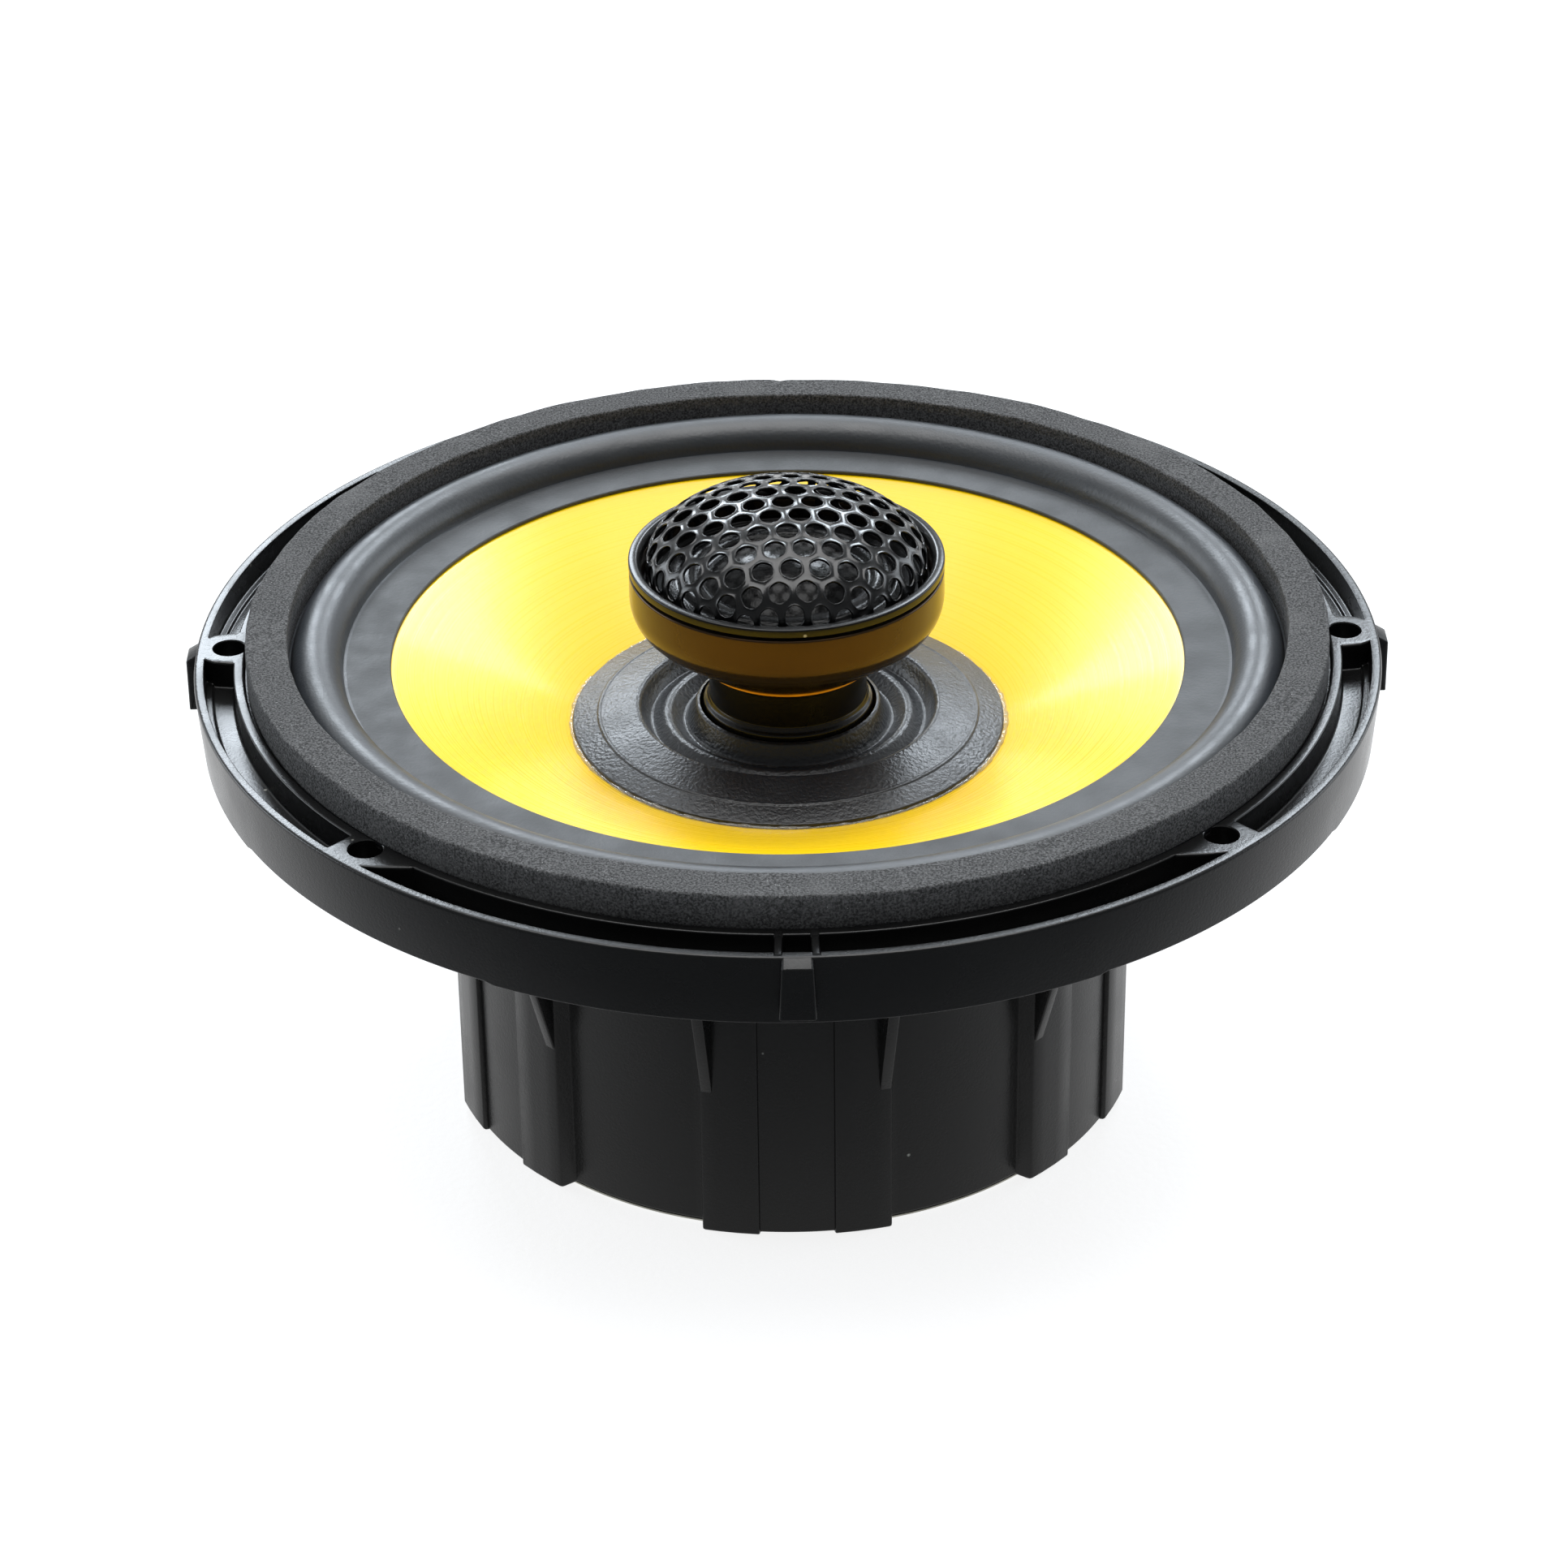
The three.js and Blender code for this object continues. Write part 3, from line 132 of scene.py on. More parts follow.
# %% Air
# strength = front + (back - front) times a smooth step of y
AIR_FRONT, AIR_BACK = 0.22, 0.8
world = bpy.data.worlds.new("studio")
scene.world = world
world.use_nodes = True
air = world.node_tree
air.nodes.clear()
world_out = air.nodes.new("ShaderNodeOutputWorld")
white_air = air.nodes.new("ShaderNodeBackground")
soft_air = air.nodes.new("ShaderNodeBackground")
air_mix = air.nodes.new("ShaderNodeMixShader")
ray = air.nodes.new("ShaderNodeLightPath")
air_way = air.nodes.new("ShaderNodeTexCoord")
air_axes = air.nodes.new("ShaderNodeSeparateXYZ")
backward = air.nodes.new("ShaderNodeMapRange")
backward.interpolation_type = "SMOOTHSTEP"
for socket, value in (("From Min", -0.5), ("From Max", 0.75), ("To Min", AIR_FRONT), ("To Max", AIR_BACK)):
    backward.inputs[socket].default_value = value
air.links.new(air_way.outputs["Generated"], air_axes.inputs[0])
air.links.new(air_axes.outputs["Y"], backward.inputs["Value"])
air.links.new(backward.outputs["Result"], soft_air.inputs["Strength"])
white_air.inputs["Color"].default_value = (1, 1, 1, 1)
soft_air.inputs["Color"].default_value = (0.93, 0.97, 1.0, 1)
air.links.new(ray.outputs["Is Camera Ray"], air_mix.inputs[0])
air.links.new(soft_air.outputs[0], air_mix.inputs[1])
air.links.new(white_air.outputs[0], air_mix.inputs[2])
air.links.new(air_mix.outputs[0], world_out.inputs["Surface"])

# %% [markdown]
# ## Finishes
# Every finish is a small network of nodes on the principled shader. They read object coordinates in metres,
# so a grain has the same size on each piece. A noise turns into three things: a shift of colour, a change of
# roughness, and a bump. A fixed value that is the same all over is set on the shader's own socket.


# %% Helpers for finishes
class Finish:
    """A material with a principled shader, and short calls for the nodes that shape its look."""

    def __init__(self, name, color, roughness, metallic=0.0, **sockets):
        self.material = bpy.data.materials.new(name)
        self.material.use_nodes = True
        self.tree = self.material.node_tree
        self.shader = self.tree.nodes["Principled BSDF"]
        self.coords = None
        self.set("Base Color", (*color, 1))
        self.set("Roughness", roughness)
        self.set("Metallic", metallic)
        for socket, value in sockets.items():
            self.set(socket.replace("_", " "), value)

    def set(self, socket, value):
        """Fixed value on one of the shader's own sockets."""
        self.shader.inputs[socket].default_value = value

    def node(self, kind, **values):
        """New node of a kind, with its settings."""
        made = self.tree.nodes.new(kind)
        for key, value in values.items():
            setattr(made, key, value)
        return made

    def link(self, source, target):
        """Joins a node's output to an input."""
        self.tree.links.new(source, target)

    def place(self):
        """Object coordinates, in metres."""
        if self.coords is None:
            self.coords = self.node("ShaderNodeTexCoord")
        return self.coords.outputs["Object"]

    def noise(self, size, detail=3.0, rough=0.5, stretch=None):
        """Noise from 0 to 1 whose grains are about `size` metres; stretch makes them longer along an axis."""
        made = self.node("ShaderNodeTexNoise")
        made.inputs["Scale"].default_value = 1 / size
        made.inputs["Detail"].default_value = detail
        made.inputs["Roughness"].default_value = rough
        if stretch is None:
            self.link(self.place(), made.inputs["Vector"])
        else:
            mapping = self.node("ShaderNodeMapping")
            mapping.inputs["Scale"].default_value = stretch
            self.link(self.place(), mapping.inputs["Vector"])
            self.link(mapping.outputs[0], made.inputs["Vector"])
        return made.outputs["Fac"]

    def radius(self):
        """Distance from the speaker's axis, in metres."""
        parts = self.node("ShaderNodeSeparateXYZ")
        self.link(self.place(), parts.inputs[0])
        flat = self.node("ShaderNodeCombineXYZ")
        self.link(parts.outputs[0], flat.inputs[0])
        self.link(parts.outputs[1], flat.inputs[1])
        length = self.node("ShaderNodeVectorMath", operation="LENGTH")
        self.link(flat.outputs[0], length.inputs[0])
        return length.outputs["Value"]

    def ramp(self, source, low, high, start=0.0, end=1.0):
        """Smooth step of source: low and below give start, high and above give end."""
        made = self.node("ShaderNodeMapRange", interpolation_type="SMOOTHSTEP")
        for socket, value in (("From Min", low), ("From Max", high), ("To Min", start), ("To Max", end)):
            made.inputs[socket].default_value = value
        self.link(source, made.inputs["Value"])
        return made.outputs["Result"]

    def math(self, operation, a, b):
        """Sum, product or other operation on two values; each may be a number or another node's output."""
        made = self.node("ShaderNodeMath", operation=operation)
        for i, value in enumerate((a, b)):
            if isinstance(value, (int, float)):
                made.inputs[i].default_value = value
            else:
                self.link(value, made.inputs[i])
        return made.outputs[0]

    def blend(self, factor, first, second):
        """Mixes two colours by a factor; each may be a colour or another node's output."""
        made = self.node("ShaderNodeMix", data_type="RGBA")
        self.link(factor, made.inputs["Factor"])
        for socket, value in ((6, first), (7, second)):
            if isinstance(value, tuple):
                made.inputs[socket].default_value = (*value, 1)
            else:
                self.link(value, made.inputs[socket])
        return made.outputs[2]

    def color(self, source):
        """Base colour from a node's output."""
        self.link(source, self.shader.inputs["Base Color"])

    def rough(self, source):
        """Roughness from a node's output."""
        self.link(source, self.shader.inputs["Roughness"])

    def bump(self, height, distance, strength=1.0):
        """Bump by a height from 0 to 1 over a distance in metres."""
        made = self.node("ShaderNodeBump")
        made.inputs["Distance"].default_value = distance
        made.inputs["Strength"].default_value = strength
        self.link(height, made.inputs["Height"])
        self.link(made.outputs[0], self.shader.inputs["Normal"])

    def specks(self, spacing, share):
        """Mask of sparse small dots: the heart of those Voronoi cells whose random value is highest."""
        cells = self.node("ShaderNodeTexVoronoi")
        cells.inputs["Scale"].default_value = 1 / spacing
        self.link(self.place(), cells.inputs["Vector"])
        dot = self.ramp(cells.outputs["Distance"], 0.05, 0.16, 1.0, 0.0)
        parts = self.node("ShaderNodeSeparateColor")
        self.link(cells.outputs["Color"], parts.inputs[0])
        chosen = self.ramp(parts.outputs[0], 1 - share, 1 - share + 0.01, 0.0, 1.0)
        return self.math("MULTIPLY", dot, chosen)


print("finish helper ready")

# %% [markdown]
# Moulded plastic is a dark colour with a satin gloss that wanders a little, a grain too fine to see as
# bumps, and some dust. The basket, the stem and the tweeter's head are the same family, with more or less
# gloss, so one function makes them all.


# %% Plastics
def moulded(name, color, gloss, grain, grain_size=0.0004, dust=0.0, specular=0.5, tint=(1, 1, 1)):
    """Satin plastic: roughness wanders by 15 percent, fine grain in the bump, pale dust where asked. A tint
    colours its reflections, which is a painted reflection where it is not white."""
    made = Finish(name, color, gloss, Specular_IOR_Level=specular, Specular_Tint=(*tint, 1))
    cloud = made.noise(0.012, 4)
    fine = made.noise(grain_size, 2)
    made.rough(made.ramp(cloud, 0.3, 0.7, gloss * 0.88, gloss * 1.15))
    shade = tuple(c * 1.3 + 0.001 for c in color)
    base = made.blend(made.ramp(made.noise(0.03, 5), 0.35, 0.7), color, shade)
    if dust:
        dots = made.specks(0.0022, dust)
        base = made.blend(dots, base, (0.42, 0.42, 0.38))
    made.color(base)
    made.bump(fine, grain)
    return made.material


BASKET = moulded("basket_plastic", (0.0028, 0.0028, 0.0028), 0.27, 0.00003, dust=0.012, specular=0.42)
STEM = moulded("stem_plastic", (0.004, 0.004, 0.004), 0.24, 0.00002, specular=0.3)
BEZEL = moulded("bezel_plastic", (0.004, 0.004, 0.004), 0.22, 0.000012, dust=0.03, specular=0.3)
# the orange tint on the head's reflections is a painted reflection of the yellow cone
HEAD = moulded("head_plastic", (0.018, 0.0135, 0.0095), 0.16, 0.000012, dust=0.012, tint=(1.0, 0.57, 0.3))
# painted glow: a bright amber colour stands in for light glowing in the thin edge at the cup's foot
PAINTED_AMBER_GLOW = moulded("painted_amber_glow", (0.75, 0.36, 0.03), 0.2, 0.00001)
FACE = moulded("faceplate_plastic", (0.002, 0.002, 0.002), 0.3, 0.00003, grain_size=0.0007, specular=0.12)
print("plastics:", [finish.name for finish in (BASKET, STEM, BEZEL, HEAD, PAINTED_AMBER_GLOW, FACE)])

# %% [markdown]
# Foam looks speckled: tiny open cells catch the light one by one. A fine noise sets both its colour and a
# strong bump, and a slow noise lays paler rubbed patches over it. Sparse bright specks in the colour are
# painted glints. Modelled pores would need millions of faces for the same glints. Rubber is smoother,
# blue-grey where it is thin, and the flat lip of the surround is rougher than its roll.


# %% Foam and rubber
def foam():
    """Dark foam: fine cells in colour and bump, slow pale patches over them, and sparse bright specks that
    are painted glints.
    """
    made = Finish("gasket_foam", (0.03, 0.03, 0.031), 0.93, Specular_IOR_Level=0.3)
    cells = made.noise(0.00030, 2, 0.7)
    patch = made.ramp(made.noise(0.012, 5, 0.6), 0.5, 0.78)
    base = made.blend(made.ramp(cells, 0.34, 0.68), (0.022, 0.022, 0.0225), (0.13, 0.131, 0.133))
    base = made.blend(made.math("MULTIPLY", patch, 0.35), base, (0.17, 0.17, 0.17))
    # painted glints: sparse bright specks in the colour stand in for light caught by the cells
    painted_glints = made.specks(0.0005, 0.14)
    made.color(made.blend(painted_glints, base, (0.5, 0.5, 0.5)))
    made.bump(cells, 0.00016, 0.8)
    return made.material


def butyl(name, color, gloss, grain, specular=0.5):
    """Rubber: slow clouds half as light again as the colour, gloss that wanders, and a fine grain."""
    made = Finish(name, color, gloss, Specular_IOR_Level=specular)
    cloud = made.noise(0.02, 4)
    made.color(made.blend(made.ramp(cloud, 0.3, 0.75), color, tuple(c * 1.5 for c in color)))
    made.rough(made.ramp(made.noise(0.006, 3), 0.3, 0.7, gloss * 0.9, gloss * 1.12))
    made.bump(made.noise(0.00055, 2), grain)
    return made.material


FOAM = foam()
RUBBER = butyl("surround_rubber", (0.014, 0.0165, 0.02), 0.42, 0.00004, specular=0.75)
LIP = butyl("lip_rubber", (0.03, 0.032, 0.034), 0.55, 0.00008)
SEAL = butyl("seal_rubber", (0.009, 0.0095, 0.011), 0.34, 0.00011)
print("foam and rubbers ready")

# %% [markdown]
# The cone is a spun sheet with a glossy yellow coat. Its fine rings turn a lamp's round glint into a fan
# that runs from the centre outward. The rings could be cut in the mesh, but they are only hundredths of a
# millimetre apart. Anisotropy gives the same fan, with the tangent running round the axis. A bump of rings by
# radius adds the lines that show close up.


# %% Cone film
def cone_film():
    """Yellow coat: rings by radius in colour, gloss and bump, a deeper yellow inward, and a thin clear
    coat over it."""
    made = Finish("cone_film", (0.95, 0.66, 0.006), 0.34, Anisotropic=0.9, Specular_IOR_Level=0.45)
    made.set("Coat Weight", 0.15)
    made.set("Coat Roughness", 0.12)
    tangent = made.node("ShaderNodeTangent", direction_type="RADIAL", axis="Z")
    made.link(tangent.outputs[0], made.shader.inputs["Tangent"])
    radius = made.radius()
    rings = made.node("ShaderNodeTexNoise", noise_dimensions="1D")
    made.link(made.math("MULTIPLY", radius, 2600.0), rings.inputs["W"])
    rings.inputs["Scale"].default_value = 1.0
    rings.inputs["Detail"].default_value = 3.0
    depth = made.ramp(radius, 0.030, 0.056, 0.0, 1.0)
    base = made.blend(depth, (1.0, 0.62, 0.003), (1.0, 0.66, 0.004))
    lines = made.ramp(rings.outputs["Fac"], 0.3, 0.7, 0.0, 0.02)
    base = made.blend(lines, base, (0.98, 0.78, 0.16))
    made.color(base)
    made.rough(made.ramp(rings.outputs["Fac"], 0.3, 0.7, 0.25, 0.34))
    made.bump(rings.outputs["Fac"], 0.00001, 0.12)
    return made.material


CONE = cone_film()
print("cone film ready")

# %% [markdown]
# Metals take their colour from the base colour, since a metal's reflection is tinted. Brushed or rolled
# marks are a noise stretched along one way. The tweeter's cap is steel under a thin black coat, so it is a
# dark dielectric with a clear coat and not a bare metal.


# %% Helpers for metal, paint and windings
def metal(name, color, gloss, stretch=(1, 1, 1), mark=0.00002, tarnish=0.25):
    """Bare metal: rolled marks in gloss and bump, and cloudy tarnish that darkens the colour."""
    made = Finish(name, color, gloss, 1.0)
    marks = made.noise(0.0012, 4, 0.6, stretch)
    dull = tuple(c * (1 - tarnish) for c in color)
    made.color(made.blend(made.ramp(made.noise(0.008, 5), 0.35, 0.7), color, dull))
    made.rough(made.ramp(marks, 0.3, 0.7, gloss * 0.8, gloss * 1.3))
    made.bump(marks, mark)
    return made.material


def painted(name, color, gloss, coat=0.5, mottle=0.0006, specular=0.6):
    """Painted or filled surface: light clouds in the colour, mottled gloss, and a clear coat on top."""
    made = Finish(name, color, gloss, Specular_IOR_Level=specular)
    made.set("Coat Weight", coat)
    made.set("Coat Roughness", 0.12)
    grain = made.noise(mottle, 3)
    light = tuple(c * 1.8 + 0.003 for c in color)
    made.color(made.blend(made.ramp(made.noise(0.004, 4), 0.35, 0.7), color, light))
    made.rough(made.ramp(grain, 0.3, 0.7, gloss * 0.85, gloss * 1.2))
    made.bump(grain, 0.000025)
    return made.material


def wound(name, color, pitch, gloss=0.3, metallic=1.0):
    """Wire wound in turns along Z, or cloth woven: a wave across the height in colour and bump. The colour is
    darkest where the bump is lowest, a painted shade in the grooves between turns and threads.
    """
    made = Finish(name, color, gloss, metallic)
    wave = made.node("ShaderNodeTexWave", wave_type="BANDS", bands_direction="Z")
    wave.inputs["Scale"].default_value = 0.314 / pitch / 2
    made.link(made.place(), wave.inputs["Vector"])
    # painted shade: the colour darkens in the wave's valleys, the grooves between turns and threads
    dark = tuple(c * 0.35 for c in color)
    made.color(made.blend(wave.outputs["Fac"], dark, color))
    made.bump(wave.outputs["Fac"], pitch / 2)
    return made.material


print("helpers for metal, paint and windings ready")

# %% Metals, papers, sleeves and films
GRILLE = painted("grille_paint", (0.0025, 0.0025, 0.0027), 0.2, 0.1, 0.004, specular=0.5)
ZINC = metal("zinc_steel", (0.55, 0.54, 0.47), 0.34)
BRASS = metal("brass_tab", (0.72, 0.50, 0.22), 0.28, (1, 12, 1))
TIN = metal("tinned_wire", (0.68, 0.68, 0.66), 0.3)
NICKEL = metal("nickel", (0.6, 0.6, 0.58), 0.25)
COPPER = wound("copper_wire", (0.80, 0.38, 0.20), 0.00035)
CLOTH = wound("spider_cloth", (0.42, 0.33, 0.12), 0.0005, 0.85, 0.0)
FERRITE = painted("ferrite", (0.02, 0.02, 0.022), 0.55, 0.0, 0.0008)
POLYIMIDE = painted("polyimide_film", (0.42, 0.15, 0.015), 0.3, 0.4)
BOARD = painted("phenolic_board", (0.13, 0.055, 0.02), 0.5, 0.1, 0.0003)
RED = painted("red_insulation", (0.34, 0.012, 0.009), 0.42, 0.1, 0.0009)
BLACK = painted("black_insulation", (0.008, 0.008, 0.009), 0.42, 0.1, 0.0009)
SLEEVE = painted("capacitor_sleeve", (0.012, 0.03, 0.15), 0.3, 0.3, 0.0008)
DOME = painted("dome_film", (0.0015, 0.0015, 0.0015), 0.16, 0.0, 0.0004, specular=0.2)
print("small finishes:", BRASS.name, COPPER.name, BOARD.name, DOME.name)

# %% [markdown]
# Glue is clear, so what it shows is the cone under it and the glints on its uneven skin. The shader lets most
# of the light through.


# %% Glue
def glue():
    """Clear glue: light passes through, and a bumpy skin with uneven gloss catches it."""
    made = Finish("clear_glue", (0.97, 0.95, 0.88), 0.06, Transmission_Weight=0.85, IOR=1.47)
    made.bump(made.noise(0.0008, 3), 0.00015)
    made.rough(made.ramp(made.noise(0.0015, 3), 0.35, 0.7, 0.03, 0.12))
    return made.material


GLUE = glue()
print("materials:", len(bpy.data.materials))

# %% [markdown]
# ## Shapes from a profile
# Nearly every piece was turned, spun, pressed or moulded round one axis. So a shape is a profile of radius
# and height pairs, carried round the axis. Sharp corners look false, since a mould always leaves a radius.
# A Bevel modifier could ease them later, but on thin walls it runs into itself. So each profile is rounded
# first: a corner is replaced by a short curve that is tangent to both its sides.


# %% Rounded corners
def rounded(points, radius, steps=4, closed=True):
    """Each corner P becomes the curve (1-t)^2 A + 2t(1-t) P + t^2 B, with A and B on its sides at most
    `radius` away. `radius` is one number, or one for each corner."""
    p = np.array(points, float)
    n = len(p)
    radii = np.full(n, radius, float) if np.isscalar(radius) else np.array(radius, float)
    t = np.linspace(0, 1, steps + 1)[:, None]
    line = []
    for i in range(n):
        if not closed and i in (0, n - 1) or radii[i] <= 0:
            line.append(p[i:i + 1])
            continue
        before, after = p[i - 1] - p[i], p[(i + 1) % n] - p[i]
        lengths = np.linalg.norm(before), np.linalg.norm(after)
        reach = min(radii[i], lengths[0] * 0.45, lengths[1] * 0.45)
        a, b = p[i] + before / lengths[0] * reach, p[i] + after / lengths[1] * reach
        line.append((1 - t) ** 2 * a + 2 * t * (1 - t) * p[i] + t ** 2 * b)
    return np.concatenate(line)


print("a square with rounded corners:", len(rounded([(0, 0), (1, 0), (1, 1), (0, 1)], 0.2)), "points")


# %% Turned shapes
def grid_faces(rows, columns, wrap_rows=True):
    """Quads between neighbours of a rows by columns grid. The columns close on themselves, and the rows do
    where asked."""
    i, j = np.meshgrid(np.arange(rows if wrap_rows else rows - 1), np.arange(columns), indexing="ij")
    i, j = i.ravel(), j.ravel()
    i2, j2 = (i + 1) % rows, (j + 1) % columns
    return np.stack([i * columns + j, i * columns + j2, i2 * columns + j2, i2 * columns + j], 1)


def turn(profile, columns, closed=True):
    """The point of profile (r, z) at angle a from the front is (r sin a, -r cos a, z). The profile closes
    on itself, or starts and ends on the axis."""
    a = np.linspace(0, 2 * np.pi, columns, endpoint=False)
    r, z = np.asarray(profile).T
    points = np.stack([r[:, None] * np.sin(a), -r[:, None] * np.cos(a),
                       np.repeat(z[:, None], columns, 1)], 2)
    return points.reshape(-1, 3), [grid_faces(len(r), columns, wrap_rows=closed)]


print("a turned square:", len(turn([(1, 0), (2, 0), (2, 1), (1, 1)], 24)[0]), "points")

# %% [markdown]
# Each piece becomes one object, whose mesh holds its place, so the object stays at the origin. Faces have to
# point outward. The volume under the faces tells whether they do, since it comes out negative on a shape
# that is inside out.


# %% From shapes to an object
def joined(parts):
    """Several (points, faces) pairs as one."""
    points, faces, start = [], [], 0
    for p, f in parts:
        points.append(p)
        faces += [quads + start for quads in f]
        start += len(p)
    return np.concatenate(points), faces


def volume(points, faces):
    """Signed volume under the faces: the sum of each corner fan's triple product, over six."""
    total = 0.0
    for q in faces:
        for k in range(1, q.shape[1] - 1):
            a, b, c = points[q[:, 0]], points[q[:, k]], points[q[:, k + 1]]
            total += np.einsum("ij,ij->", a, np.cross(b, c)) / 6
    return total


def outward(shape):
    """Turns every face over where the shape is inside out."""
    points, faces = shape
    if volume(points, faces) < 0:
        faces = [q[:, ::-1] for q in faces]
    return points, faces


def piece(name, parts, material, body, replaced=(), sharp=38):
    """Makes an object from closed shapes in millimetres, welds its poles, shades it smooth below the sharp
    angle, parents it to the empty of its body where one is given, and hides the CAD nodes it stands for."""
    points, faces = joined([outward(p) for p in parts])
    mesh = bpy.data.meshes.new(name)
    mesh.from_pydata((points * MM).tolist(), [], [f for q in faces for f in q.tolist()])
    mesh.validate()
    obj = bpy.data.objects.new(name, mesh)
    scene.collection.objects.link(obj)
    work = bmesh.new()
    work.from_mesh(mesh)
    bmesh.ops.remove_doubles(work, verts=work.verts, dist=2e-7)
    work.to_mesh(mesh)
    work.free()
    mesh.shade_smooth()
    mesh.set_sharp_from_angle(angle=math.radians(sharp))
    mesh.materials.append(material)
    if body:
        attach(obj, body)
    for node in replaced:
        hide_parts(node)
    print(f"{name}: {len(mesh.vertices)} points, {len(mesh.polygons)} faces")
    return obj


def reach(node):
    """(outer radius, lowest height, highest height) of a turned CAD node, in millimetres."""
    low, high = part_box(node)
    return max(high.x, -low.x) / MM, low.z / MM, high.z / MM


print("basket: radius, foot and top", [round(value, 2) for value in reach("basket")])


# %% Flat plates
def slab(outline, low, high, edge=0.25, steps=3):
    """Flat plate with an outline in plan and rounded rims: the outline moves inward by edge (1 - cos t)
    while the height rises by edge sin t, and a fan closes each face."""
    p = np.array(outline, float)
    side = np.roll(p, -1, 0) - p
    out = np.stack([side[:, 1], -side[:, 0]], 1)
    out /= np.maximum(np.linalg.norm(out, axis=1), 1e-9)[:, None]
    area = np.sum(p[:, 0] * np.roll(p[:, 1], -1) - np.roll(p[:, 0], -1) * p[:, 1])
    inward = -(out + np.roll(out, 1, 0)) * (1 if area > 0 else -1)
    inward /= np.maximum(np.linalg.norm(inward, axis=1), 1e-9)[:, None]
    t = np.linspace(0, np.pi / 2, steps + 1)
    rings = [np.c_[p + inward * edge * (1 - np.sin(a)), np.full(len(p), low + edge * (1 - np.cos(a)))]
             for a in t]
    rings += [np.c_[p + inward * edge * (1 - np.sin(a)), np.full(len(p), high - edge * (1 - np.cos(a)))]
              for a in t[::-1]]
    n = len(p)
    points = np.concatenate(rings + [np.r_[p.mean(0), low][None], np.r_[p.mean(0), high][None]])
    quads = grid_faces(len(rings), n, wrap_rows=False)
    i = np.arange(n)
    j, last, top = (i + 1) % n, len(rings) * n, (len(rings) - 1) * n
    fans = [np.stack([j, i, np.full(n, last)], 1), np.stack([top + i, top + j, np.full(n, last + 1)], 1)]
    return points, [quads] + fans


print("a flat plate:", len(slab([(0, 0), (9, 0), (9, 5), (0, 5)], 0, 2)[0]), "points")

# %% [markdown]
# A plate is drawn lying flat, which is easy to think about, and is then stood up, turned round the axis or
# moved. Its points are changed and not its object, so every object stays at the origin.


# %% Placing a shape
def placed(shape, columns, shift=(0, 0, 0)):
    """A shape whose own x, y and z run along the three given directions, moved by a shift."""
    points, faces = shape
    return points @ np.array(columns, float) + np.array(shift, float), faces


def turned_by(shape, degrees):
    """A shape turned round the speaker's axis, to the right as seen from the front."""
    a = math.radians(degrees)
    c, s = math.cos(a), math.sin(a)
    return placed(shape, [(c, s, 0), (-s, c, 0), (0, 0, 1)])


print("a quarter turn takes x to", np.round(turned_by((np.array([[1.0, 0, 0]]), []), 90)[0][0], 3))

# %% [markdown]
# ## Basket: the flange
# The flange has a skirt, a narrow rim, a channel with a stepped ledge, an inner wall and the seat of the
# gasket. One profile carried round gives all of that. The channel is interrupted: by flat lands at four
# screw holes, by round bosses at the two side holes, and by two pairs of thin ribs. The channel could be cut
# in pieces with booleans, but they leave ragged edges on such a thin rim. Here each point of the channel is
# lifted to the top where a span stands.

# %% Sizes of the flange, from the CAD model
RIM_TOP = 67.0
RIM_R = 82.5
SKIRT_FOOT = RIM_TOP - 10.3
SKIRT_STEP, STEP_FROM, STEP_TO = 0.35, 28, 62    # the foot is higher between these angles of a quarter
UNDERSIDE = RIM_TOP - 6.6
CHANNEL_IN, CHANNEL_OUT = 77.0, 81.1
CHANNEL_FLOOR = RIM_TOP - 3.9
SEAT = RIM_TOP - 1.1
HOLE_CIRCLE, HOLE_R, BOSS_R = 77.8, 2.3, 4.8
LANDS = (45.4, 134.6, 225.4, 314.6)          # degrees round from the front
LAND_HALF = 4.35
BOSSES = (90.0, 270.0)
RIB_CIRCLE, RIB_OFF, RIB_HALF = 79.0, 2.35, 0.72
LUGS = (0.0, 90.0, 180.0, 270.0)
LUG_HALF, LUG_FOOT = 2.35, SKIRT_FOOT + 1.7
lug_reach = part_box("basket")[1].x / MM - RIM_R
print("lug reach", round(lug_reach, 2))


# %% Raised spans of the channel
def raised_spans():
    """(angle, reach to the left, reach to the right, height, softness): how far from its centre a raised
    span goes on each side, in millimetres, as a function of radius. A slanted side reaches
    8.3 - 5.2 t + 1.5 t (1 - t), where t goes from 0 at the channel's inner wall to 1 at its outer one."""
    def boss(r):
        return np.sqrt(np.maximum(BOSS_R ** 2 - (r - HOLE_CIRCLE) ** 2, 1.0))

    def straight(r):
        return np.full_like(r, LAND_HALF)

    def slanted(r):
        t = np.clip((r - CHANNEL_IN) / (CHANNEL_OUT - CHANNEL_IN), 0, 1)
        return 8.3 - 5.2 * t + 1.5 * t * (1 - t)

    def rib(r):
        return np.full_like(r, RIB_HALF)

    spans = [(angle, boss, boss, RIM_TOP, 1.0) for angle in BOSSES]
    for angle in LANDS:
        slant_right = (angle < 180) == (math.cos(math.radians(angle)) < 0)
        sides = (straight, slanted) if slant_right else (slanted, straight)
        spans.append((angle, *sides, RIM_TOP, 1.0))
    for angle in (0, 180):
        for side in (-1, 1):
            centre = angle + side * math.degrees(RIB_OFF / RIB_CIRCLE)
            spans.append((centre % 360, rib, rib, RIM_TOP - 0.3, 0.55))
    return sorted(spans, key=lambda s: s[0])


print("raised spans:", len(raised_spans()))

# %% [markdown]
# Even columns would cut across the slanted sides and leave steps. So each column follows an edge: it has an
# angle of its own at every radius. A few columns stand close together on the climb, and the rest are spread
# evenly between the spans.

# %% Flange surface
# the side of a raised span: (distance in from its edge in millimetres, share of the lift)
CLIMB = [(0, 0), (0.14, 0.008), (0.24, 0.03), (0.29, 0.07), (0.33, 0.92), (0.39, 0.965), (0.5, 0.99),
         (0.66, 1)]


